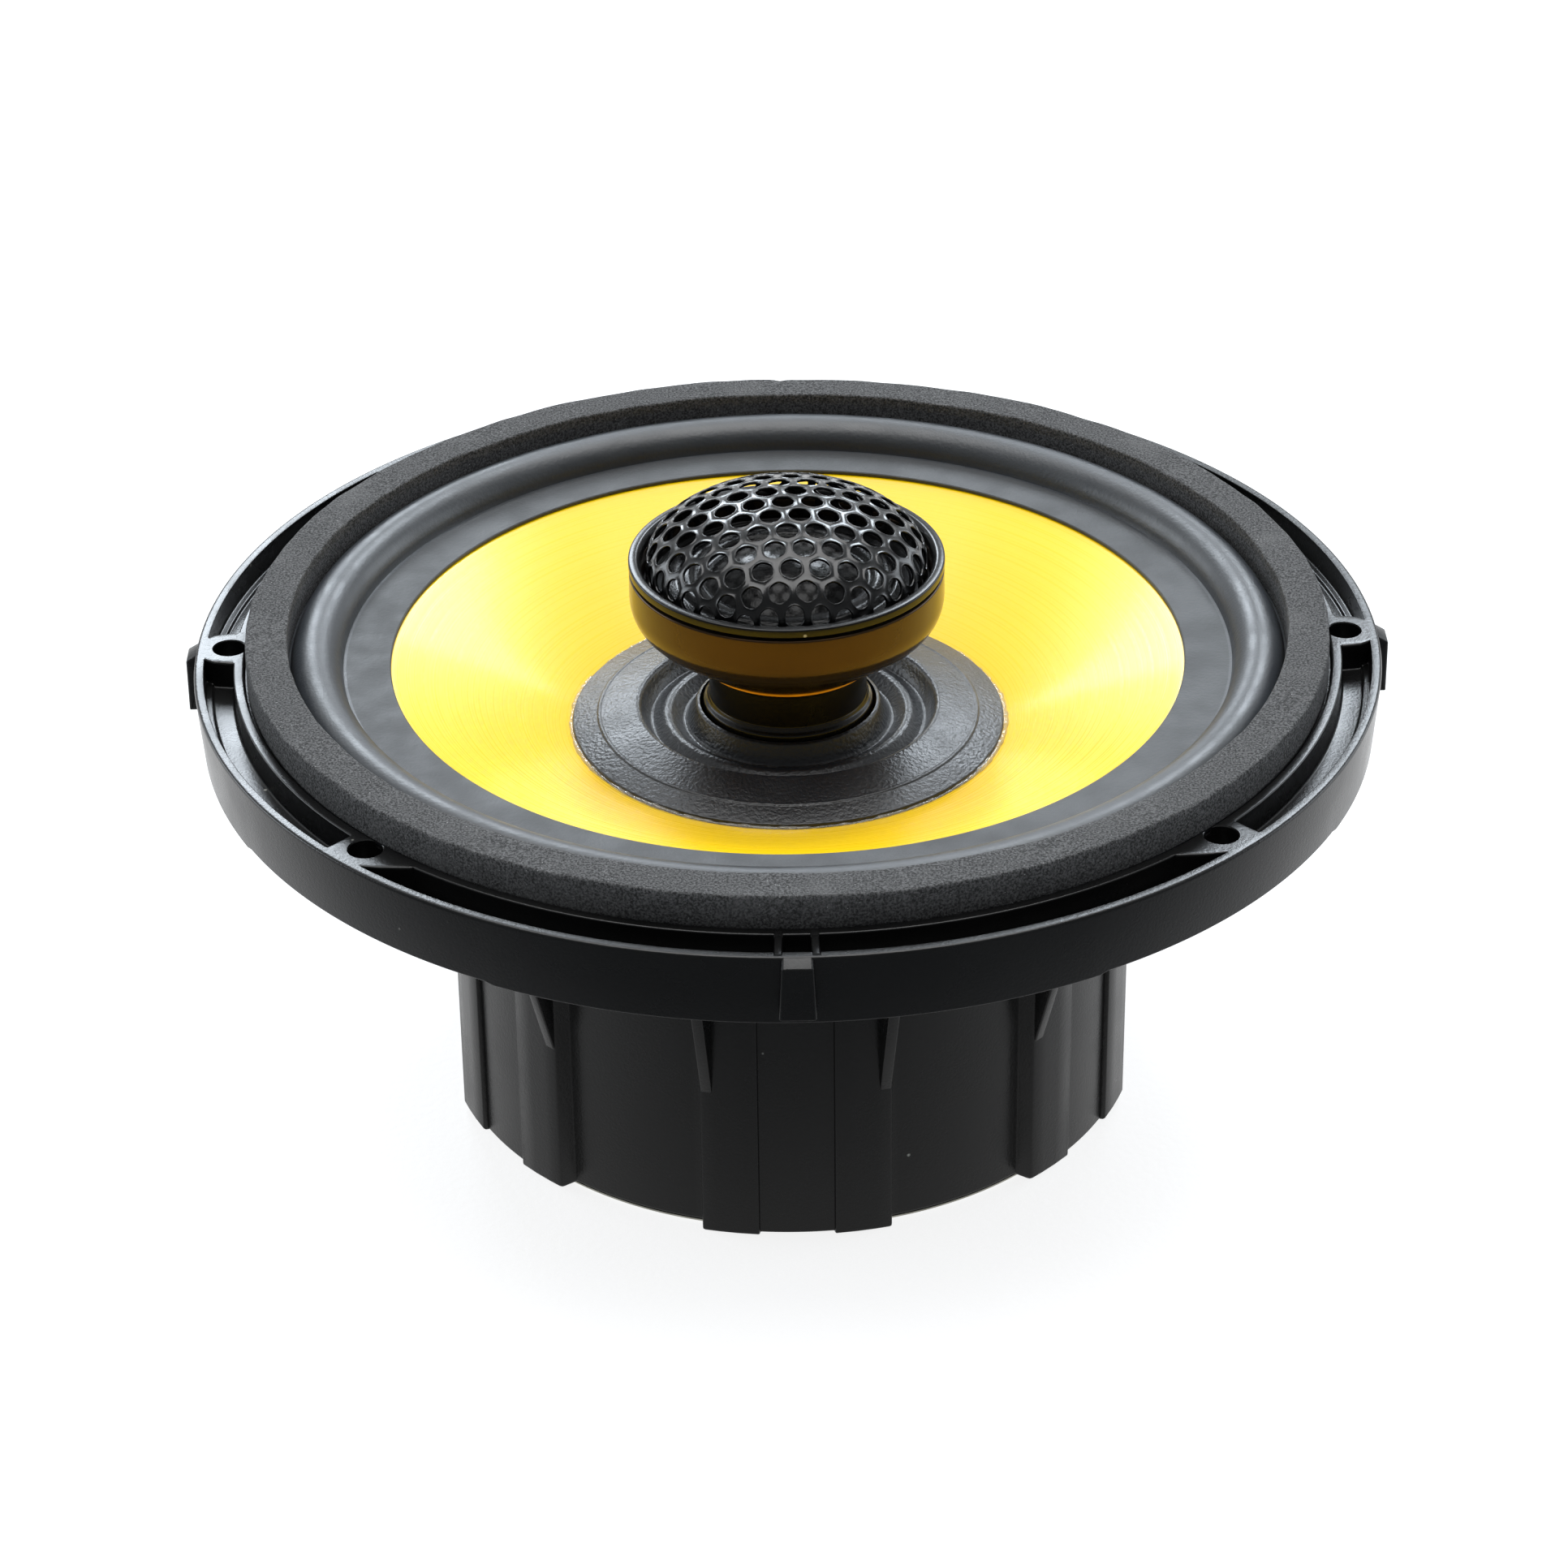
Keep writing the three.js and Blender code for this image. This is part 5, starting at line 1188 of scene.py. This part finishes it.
# %% Cells of the cap
def cap_cell(sides=24):
    """Rings of one cell: (share of the way from hole to hexagon, height). The hexagon's own radius at
    angle t is half the pitch over cos(t folded into a sixth of a turn)."""
    t = np.arange(sides) * 2 * np.pi / sides
    fold = (t + np.pi / 6) % (np.pi / 3) - np.pi / 6
    hexagon = PITCH / 2 / np.cos(fold)
    rings = [(0.0, -0.14), (0.03, 0.0), (0.12, 0.06), (0.24, 0.05), (0.38, 0.0), (1.0, 0.0)]
    flat = [(CAP_HOLE + (hexagon - CAP_HOLE) * k, h) for k, h in rings]
    return np.stack([np.c_[r * np.cos(t), r * np.sin(t), np.full(sides, h)] for r, h in flat])


def perforated_cap():
    """Cells at i a + j b, where a and b are a pitch long and 60 degrees apart; drawn over the dome."""
    cell = cap_cell()
    rings, sides = cell.shape[:2]
    s, line, normal = cap_curve()
    span = int(s[-1] / PITCH) + 2
    i, j = np.meshgrid(np.arange(-2 * span, 2 * span + 1), np.arange(-span, span + 1), indexing="ij")
    centre = np.stack([(i + j / 2) * PITCH, j * PITCH * math.sqrt(3) / 2, 0 * i], 2).reshape(-1, 3)
    centre = centre[np.hypot(centre[:, 0], centre[:, 1]) < s[-1] + PITCH]
    c, n = math.cos(math.radians(CAP_TURN)), math.sin(math.radians(CAP_TURN))
    points = (cell.reshape(-1, 3)[None] + centre[:, None]) @ np.array([[c, n, 0], [-n, c, 0], [0, 0, 1]])
    points = points.reshape(-1, 3) + (*CAP_SHIFT, 0)
    faces = grid_faces(rings, sides, wrap_rows=False)[:, ::-1]
    faces = (faces[None] + (np.arange(len(centre)) * rings * sides)[:, None, None]).reshape(-1, 4)
    distance = np.hypot(points[:, 0], points[:, 1])
    faces = faces[distance[faces].min(1) < s[-1] - 0.05]
    angle = np.arctan2(points[:, 1], points[:, 0])
    along, height = np.minimum(distance, s[-1]), points[:, 2]
    r = np.interp(along, s, line[:, 0]) + height * np.interp(along, s, normal[:, 0])
    z = np.interp(along, s, line[:, 1]) + height * np.interp(along, s, normal[:, 1])
    r = np.minimum(r, cap_out - 0.01)
    return np.stack([r * np.cos(angle), r * np.sin(angle), z], 1), [faces]


print("points on the sheet:", len(perforated_cap()[0]))


# %% Cap
def draw_cap():
    """Makes the sheet, drops points that no face uses and faces that shrank to nothing, and thickens it
    inward."""
    points, faces = perforated_cap()
    mesh = bpy.data.meshes.new("perforated_cap")
    mesh.from_pydata((points * MM).tolist(), [], faces[0].tolist())
    work = bmesh.new()
    work.from_mesh(mesh)
    bmesh.ops.remove_doubles(work, verts=work.verts, dist=2e-5)
    bmesh.ops.dissolve_degenerate(work, dist=1e-6, edges=work.edges)
    bmesh.ops.delete(work, geom=[v for v in work.verts if not v.link_faces], context="VERTS")
    work.to_mesh(mesh)
    work.free()
    mesh.materials.append(GRILLE)
    mesh.shade_smooth()
    obj = bpy.data.objects.new("perforated_cap", mesh)
    scene.collection.objects.link(obj)
    wall = obj.modifiers.new("sheet", "SOLIDIFY")
    wall.thickness, wall.offset = CAP_SHEET * MM, -1
    obj.data = baked(obj)
    obj.modifiers.clear()
    obj.data.set_sharp_from_angle(angle=math.radians(55))
    return obj


cap = draw_cap()
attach(cap, FRAME)
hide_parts("tweeter_grille")
print("cap:", len(cap.data.polygons), "faces")

# %% [markdown]
# ## Tweeter dome, horn plate and half roll
# Little of these shows through the cap, but what does show is a set of glints: the dome's crown and the edges
# of the faceplate's short horn. So they are turned from plain profiles. The half roll is the surround again
# at another size.

# %% Dome
dome_out, dome_low, dome_high = reach("tweeter_dome")


def dome_profile(count=24):
    """Spherical cap: z = top - R (1 - cos a), with R from the edge radius and the height; a thin shell."""
    height = dome_high - dome_low - 0.2
    sphere = (dome_out ** 2 + height ** 2) / (2 * height)
    a = np.linspace(0, math.asin(dome_out / sphere), count)
    upper = np.c_[sphere * np.sin(a), dome_high - sphere * (1 - np.cos(a))]
    lower = np.c_[(sphere - 0.25) * np.sin(a), dome_high - 0.2 - (sphere - 0.25) * (1 - np.cos(a))]
    lower[:, 0] = np.minimum(lower[:, 0], dome_out - 0.15)
    return np.concatenate([upper, lower[::-1]])


piece("tweeter_crown", [turn(dome_profile(), 96, closed=False)], DOME, TWEETER, ["tweeter_dome"])

# %% Half roll of the tweeter
roll_out, _, roll_high = reach("tweeter_surround")
roll_flat = roll_high - 0.7
roll_line = half_roll(roll_out, dome_out + 0.1, (15.0, dome_out + 0.3), (roll_flat, roll_flat), 0.68, 0.2, 14)
tweeter_roll = piece("tweeter_half_roll", [turn(roll_line, 144)], DOME, None, ["tweeter_surround"])
blend_by_radius(tweeter_roll)

# %% Horn plate
face_out, face_low, face_high = reach("tweeter_faceplate")
face_line = rounded([(13.0, face_low), (face_out, face_low), (face_out, face_high), (18.6, face_high),
                     (18.3, face_high - 0.35), (17.3, face_high - 0.35), (17.0, face_high),
                     (15.4, face_high), (13.0, face_low + 0.7)], 0.18, 4)
piece("tweeter_horn_plate", [turn(face_line, 192)], FACE, FRAME, ["tweeter_faceplate"])

# %% [markdown]
# ## Behind the basket
# A pressed steel cover closes the motor, and a terminal board of brown laminate stands on the block at the
# back. The cover is turned, and the board is a flat plate stood up.

# %% Rear cover and board
cover_out, cover_low, cover_high = reach("rear_cover_plate")
cover_line = rounded([(7.2, cover_low), (7.6, cover_low), (20, cover_low), (cover_out - 0.5, cover_low),
                      (cover_out, cover_low + 0.3), (cover_out, cover_high), (7.2, cover_high)],
                     [0.1, 0.1, 0, 0.2, 0.15, 0.1, 0.1], 3)
piece("rear_cover", [turn(cover_line, 256)], ZINC, FRAME, ["rear_cover_plate"])


def facing_back(shape, y, z):
    """A plate made flat in x and y, stood up behind the speaker: its x runs along x, its y up, and its
    thickness outward along y."""
    return placed(shape, [(1, 0, 0), (0, 0, 1), (0, 1, 0)], (0, y, z))


TAB_Z = (board_low[2] + board_high[2]) / 2 + 0.5
board_shape = slab(box_outline(BOARD_HALF, (board_low[2] - TAB_Z, board_high[2] - TAB_Z), 0.9), 0,
                   board_high[1] - board_low[1], 0.2)
piece("terminal_plate", [facing_back(board_shape, board_low[1], TAB_Z)], BOARD, FRAME,
      ["terminal_board"])


# %% [markdown]
# Two brass tabs take the plugs, and rivets hold them to the board. A tab was stamped from strip, so it is an
# outline with eased rims. A rivet was headed from wire, so it is turned and then laid on its side.


# %% Tabs and rivets
def tab(node, name):
    """Push-on tab: a flat blade with a tapered tip."""
    low, high = box_of(node)
    half = (high[2] - low[2]) / 2
    outline = rounded([(low[1], -half), (high[1] - 1.2, -half), (high[1], -half + 0.9),
                       (high[1], half - 0.9), (high[1] - 1.2, half), (low[1], half)],
                      [0.2, 0.4, 0.3, 0.3, 0.4, 0.2], 4)
    shape = slab(outline, low[0], high[0], 0.12)
    return piece(name, [placed(shape, [(0, 1, 0), (0, 0, 1), (1, 0, 0)], (0, 0, (low[2] + high[2]) / 2))],
                 BRASS, FRAME, [node])


tab("terminal_positive", "tab_positive")
tab("terminal_negative", "tab_negative")
for number in (1, 2):
    low, high = box_of(f"terminal_rivet_{number}")
    rivet_x, head_y = (low[0] + high[0]) / 2, high[1]
    line = rounded([(0, low[1]), (1.3, low[1]), (1.3, head_y - 0.9), (2.5, head_y - 0.9), (2.3, head_y - 0.3),
                    (1.2, head_y), (0, head_y)], [0, 0.2, 0.1, 0.2, 0.4, 0.6, 0], 4, closed=False)
    shape = placed(turn(line, 40, closed=False), [(1, 0, 0), (0, 0, -1), (0, 1, 0)], (rivet_x, 0, TAB_Z))
    piece(f"board_rivet_{number}", [shape], ZINC, FRAME, [f"terminal_rivet_{number}"])


# %% [markdown]
# ## Leads and capacitor
# The leads are round tubes along the CAD model's own routes. A bevelled curve object would do, but a
# computed tube is a mesh from the start, and its radius can ripple, as the tinsel braid's does. The line has
# to be smooth, or the tube would show corners at its few points.


# %% A line through points, and a tube along it
def smooth_line(points, steps=10):
    """Centripetal Catmull-Rom curve through the points: knots lie the square root of the distance apart,
    and each span blends the lines through its four nearest points."""
    p = np.array(points, float)
    p = np.concatenate([[2 * p[0] - p[1]], p, [2 * p[-1] - p[-2]]])
    line = []
    for k in range(1, len(p) - 2):
        q = p[k - 1:k + 3]
        t = np.r_[0, np.cumsum(np.maximum(np.linalg.norm(np.diff(q, axis=0), axis=1), 1e-6) ** 0.5)]
        u = np.linspace(t[1], t[2], steps, endpoint=False)[:, None]
        a = [(t[i + 1] - u) / (t[i + 1] - t[i]) * q[i] + (u - t[i]) / (t[i + 1] - t[i]) * q[i + 1]
             for i in range(3)]
        b = [(t[i + 2] - u) / (t[i + 2] - t[i]) * a[i] + (u - t[i]) / (t[i + 2] - t[i]) * a[i + 1]
             for i in range(2)]
        line.append((t[2] - u) / (t[2] - t[1]) * b[0] + (u - t[1]) / (t[2] - t[1]) * b[1])
    return np.concatenate(line + [p[-2:-1]])


def tube(line, radius, sides=12):
    """Round tube along a line: the section is carried along without twist, by turning the last step's
    frame on to the next direction, and a fan closes each end."""
    direction = np.gradient(line, axis=0)
    direction /= np.linalg.norm(direction, axis=1)[:, None]
    first = np.cross(direction[0], (0, 0, 1) if abs(direction[0][2]) < 0.9 else (1, 0, 0))
    normal = [first / np.linalg.norm(first)]
    for d in direction[1:]:
        n = normal[-1] - d * (normal[-1] @ d)
        normal.append(n / np.linalg.norm(n))
    normal = np.array(normal)
    across = np.cross(direction, normal)
    t = np.linspace(0, 2 * np.pi, sides, endpoint=False)
    radii = np.broadcast_to(radius, (len(line),))[:, None, None]
    ring = line[:, None] + radii * (np.cos(t)[None, :, None] * normal[:, None]
                                    + np.sin(t)[None, :, None] * across[:, None])
    n = len(line)
    points = np.concatenate([ring.reshape(-1, 3), line[:1], line[-1:]])
    i = np.arange(sides)
    j, last = (i + 1) % sides, (n - 1) * sides
    return points, [grid_faces(n, sides, wrap_rows=False),
                    np.stack([j, i, np.full(sides, n * sides)], 1),
                    np.stack([last + i, last + j, np.full(sides, n * sides + 1)], 1)]


print("a straight tube:", len(tube(smooth_line([(0, 0, 0), (5, 0, 0), (9, 0, 0)]), 0.5)[0]), "points")

# %% Routes inside the stem
LEAD_R = 0.5
LEAD_EXIT = 27.0
board_face = board_high[1]
tab_x = box_of("terminal_positive")[1][0] - 0.4
pot_under = reach("tweeter_pot")[1] - 1.6
groove = 0.7 + LEAD_R + 0.1
YOKE_R = reach("t_yoke")[0]
gap_y = (YOKE_R + BELL_IN) / 2


def stem_route(side):
    """Points from the faceplate, under the tweeter's pot, down the stem, along the groove and out."""
    x = side * 0.65
    return [(side * 16.6, 0, face_low - 0.9), (side * 16.8, 0, face_low - 3.4),
            (side * 15.7, 0, pot_under + 1.9), (side * 13.4, 0, pot_under + 0.15),
            (side * 11, 0, pot_under), (side * 3, 0, pot_under), (side * 1.1, 0, pot_under - 0.3),
            (x, 0, stem_high - 0.6), (x, 0, stem_high - 3),
            (x, 0, 6), (x, 0, 2.6), (x, 0.5, groove + 0.2), (x, 1.8, groove), (x, 6.8, groove),
            (x, 40, groove), (x, YOKE_R + 0.2, groove + 0.3), (x, gap_y, groove + 1.9),
            (x, gap_y, groove + 5), (x, gap_y, LEAD_EXIT - 4), (x, gap_y + 1, LEAD_EXIT - 0.9),
            (x, 47, LEAD_EXIT), (x, 50, LEAD_EXIT + 0.1)]


print("points in a route:", len(stem_route(1)))

# %% Leads
can_low, can_high = box_of("tweeter_capacitor")
can_centre = (can_low + can_high) / 2
can_along = np.array([-math.cos(math.radians(30)), 0.5, 0])
CAN_HALF, CAN_R = 9.0, 4.5


def can_end(side, gap, drop=0.0):
    """Point on the capacitor's axis outside one end, lowered by a drop."""
    return tuple(can_centre + can_along * side * (CAN_HALF + gap) - (0, 0, drop))


solder_y = board_face + 3.4
red_route = stem_route(1) + [(0.8, 51.9, 27.4), (4, 52.2, 28.5), (14, 53.4, 31), (27, 46.5, 34),
                             (39, 41.5, 38.5), can_end(-1, 6.5, 1.5), can_end(-1, 2.5), can_end(-1, 0.3)]
black_route = stem_route(-1) + [(-0.9, 51.9, 28), (-2.2, 52.6, 36), (-4, board_face + 1.6, 38),
                                (-tab_x + 1.4, solder_y, TAB_Z - 3.5), (-tab_x + 1.3, solder_y, TAB_Z)]
wire_route = [can_end(1, 0.3), can_end(1, 2.5), (17, board_face + 2.6, can_centre[2] + 1),
              (11, solder_y, can_centre[2] + 3), (tab_x + 1.4, solder_y, TAB_Z - 1)]
for name, node, route, finish, slot in (
        ("lead_red", "tweeter_lead_positive", red_route, RED, "red_insulation"),
        ("lead_black", "tweeter_lead_negative", black_route, BLACK, "black_insulation"),
        ("capacitor_wire", "capacitor_lead", wire_route, TIN, "tinned_wire")):
    piece(name, [tube(smooth_line(route), LEAD_R)], finish, FRAME, [node])

# %% [markdown]
# The capacitor keeps low notes from the tweeter. It is an aluminium can in a shrunk plastic sleeve, with a
# groove pressed near one end. It is turned along its own axis, and then laid in its place.

# %% Capacitor
can_line = rounded([(0, -CAN_HALF), (CAN_R - 0.9, -CAN_HALF), (CAN_R - 0.7, -CAN_HALF + 0.35),
                    (CAN_R, -CAN_HALF + 0.5), (CAN_R, -CAN_HALF + 2.0), (CAN_R - 0.45, -CAN_HALF + 2.5),
                    (CAN_R, -CAN_HALF + 3.0), (CAN_R, CAN_HALF - 0.5), (CAN_R - 0.7, CAN_HALF - 0.35),
                    (CAN_R - 0.9, CAN_HALF), (0, CAN_HALF)],
                   [0, 0.2, 0.2, 0.4, 0.4, 0.4, 0.4, 0.5, 0.2, 0.2, 0], 4, closed=False)
can = placed(turn(can_line, 64, closed=False), [(-can_along[1], can_along[0], 0), (0, 0, 1), can_along],
             can_centre)
piece("capacitor_can", [can], SLEEVE, FRAME, ["tweeter_capacitor"])


# %% [markdown]
# Tinsel leads are braided copper. Woven strands would be too many faces for two pieces that are hardly seen,
# so the braid is a tube that ripples. The leads bend as the cone moves; here they are made at rest.


# %% Tinsel leads
BRAID_R, BRAID_RIPPLE, BRAID_TWIST = 0.58, 0.08, 1.4


def tinsel(x):
    """Braid: a tube along its route, whose radius is R + ripple cos(2 pi s / twist) at the distance s."""
    line = smooth_line([(x, 55, TAB_Z), (x, 51.5, TAB_Z), (x, 42, TAB_Z - 0.8),
                        (x, 33, TAB_Z - 0.2), (x, 28.5, TAB_Z + 2),
                        (x, 27, cone_height(math.hypot(27, x)) - 1.2)], 24)
    along = np.r_[0, np.cumsum(np.linalg.norm(np.diff(line, axis=0), axis=1))]
    return tube(line, BRAID_R + BRAID_RIPPLE * np.cos(along * 2 * np.pi / BRAID_TWIST), 10)


for side, word in ((1, "positive"), (-1, "negative")):
    braid = piece(f"braid_{word}", [tinsel(side * tab_x)], COPPER, None, [f"tinsel_lead_{word}"])
    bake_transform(braid)


# %% [markdown]
# The spider is cloth pressed hot into corrugations. It centres the coil and springs back. It doesn't drape,
# so it needs no cloth simulation: a sine wave along the radius is its shape.

# %% Spider
SPIDER_IN = 14.9


def spider_line():
    """Corrugations: z = lip + 1.05 sin(2 pi 4 t) over the free width, flat at both lips."""
    r = np.concatenate([[45.9], np.linspace(SEAT_IN, SPIDER_IN, 97), [13.7]])
    t = np.clip((SEAT_IN - r) / (SEAT_IN - SPIDER_IN), 0, 1)
    lip = reach("spider")[2] - 1.1
    z = lip + 1.05 * np.sin(2 * np.pi * 4 * t)
    return np.concatenate([np.c_[r, z], np.c_[r, z - 0.35][::-1]])


spider = piece("spider_disc", [turn(spider_line(), 144)], CLOTH, None, ["spider"])
blend_by_radius(spider)

# %% [markdown]
# The motor's steel, magnet, screws and coils are plain turned shapes and mostly hidden. So they keep their
# CAD meshes, and take a finish in their own slots. The floor comes last, at the height of the rear cover's
# underside, and is only a stage.

# %% Finishes for the CAD nodes
KEPT = {
    ZINC: ["t_yoke", "top_plate", "basket_screw_1", "basket_screw_2", "basket_screw_3", "basket_screw_4",
           "stem_washer", "stem_nut", "tweeter_pot", "tweeter_pole_plate"],
    FERRITE: ["magnet_ring"],
    NICKEL: ["tweeter_magnet"],
    POLYIMIDE: ["voice_coil_former", "tweeter_former"],
    COPPER: ["voice_coil_winding", "tweeter_coil"],
}
for finish, nodes in KEPT.items():
    for node in nodes:
        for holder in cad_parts[node].material_slots:
            holder.link = "OBJECT"
            holder.material = finish
print("kept CAD nodes:", sum(len(n) for n in KEPT.values()))


# %% Floor
def floor():
    """White sheet with a fine grain, wide enough to fill the view. To the camera it also glows a little, and
    so does the part behind the speaker, nearer the windows, in reflections."""
    mesh = bpy.data.meshes.new("floor")
    size = 6.0
    mesh.from_pydata([(-size, -size, 0), (size, -size, 0), (size, size, 0), (-size, size, 0)], [],
                     [(0, 1, 2, 3)])
    obj = bpy.data.objects.new("floor", mesh)
    scene.collection.objects.link(obj)
    white = (0.8, 0.82, 0.84)
    made = Finish("floor_white", white, 0.8, Specular_IOR_Level=0.1)
    made.bump(made.noise(0.0012, 3), 0.0003, 0.4)
    rays = made.node("ShaderNodeLightPath")
    seen = made.math("MAXIMUM", rays.outputs["Is Camera Ray"], rays.outputs["Is Transmission Ray"])
    shown = made.blend(seen, white, (0.34, 0.35, 0.36))
    made.color(made.blend(rays.outputs["Is Glossy Ray"], shown, (0.11, 0.115, 0.12)))
    made.set("Emission Color", (1, 1, 1, 1))
    axes = made.node("ShaderNodeSeparateXYZ")
    made.link(made.place(), axes.inputs[0])
    behind = made.ramp(axes.outputs[1], -0.16, 0.09, 0.0, 1.1)
    mirrored = made.math("MULTIPLY", rays.outputs["Is Glossy Ray"], behind)
    made.link(made.math("ADD", made.math("MULTIPLY", seen, 0.85), mirrored),
              made.shader.inputs["Emission Strength"])
    mesh.materials.append(made.material)


floor()

# %% Update the scene
bpy.context.view_layer.update()
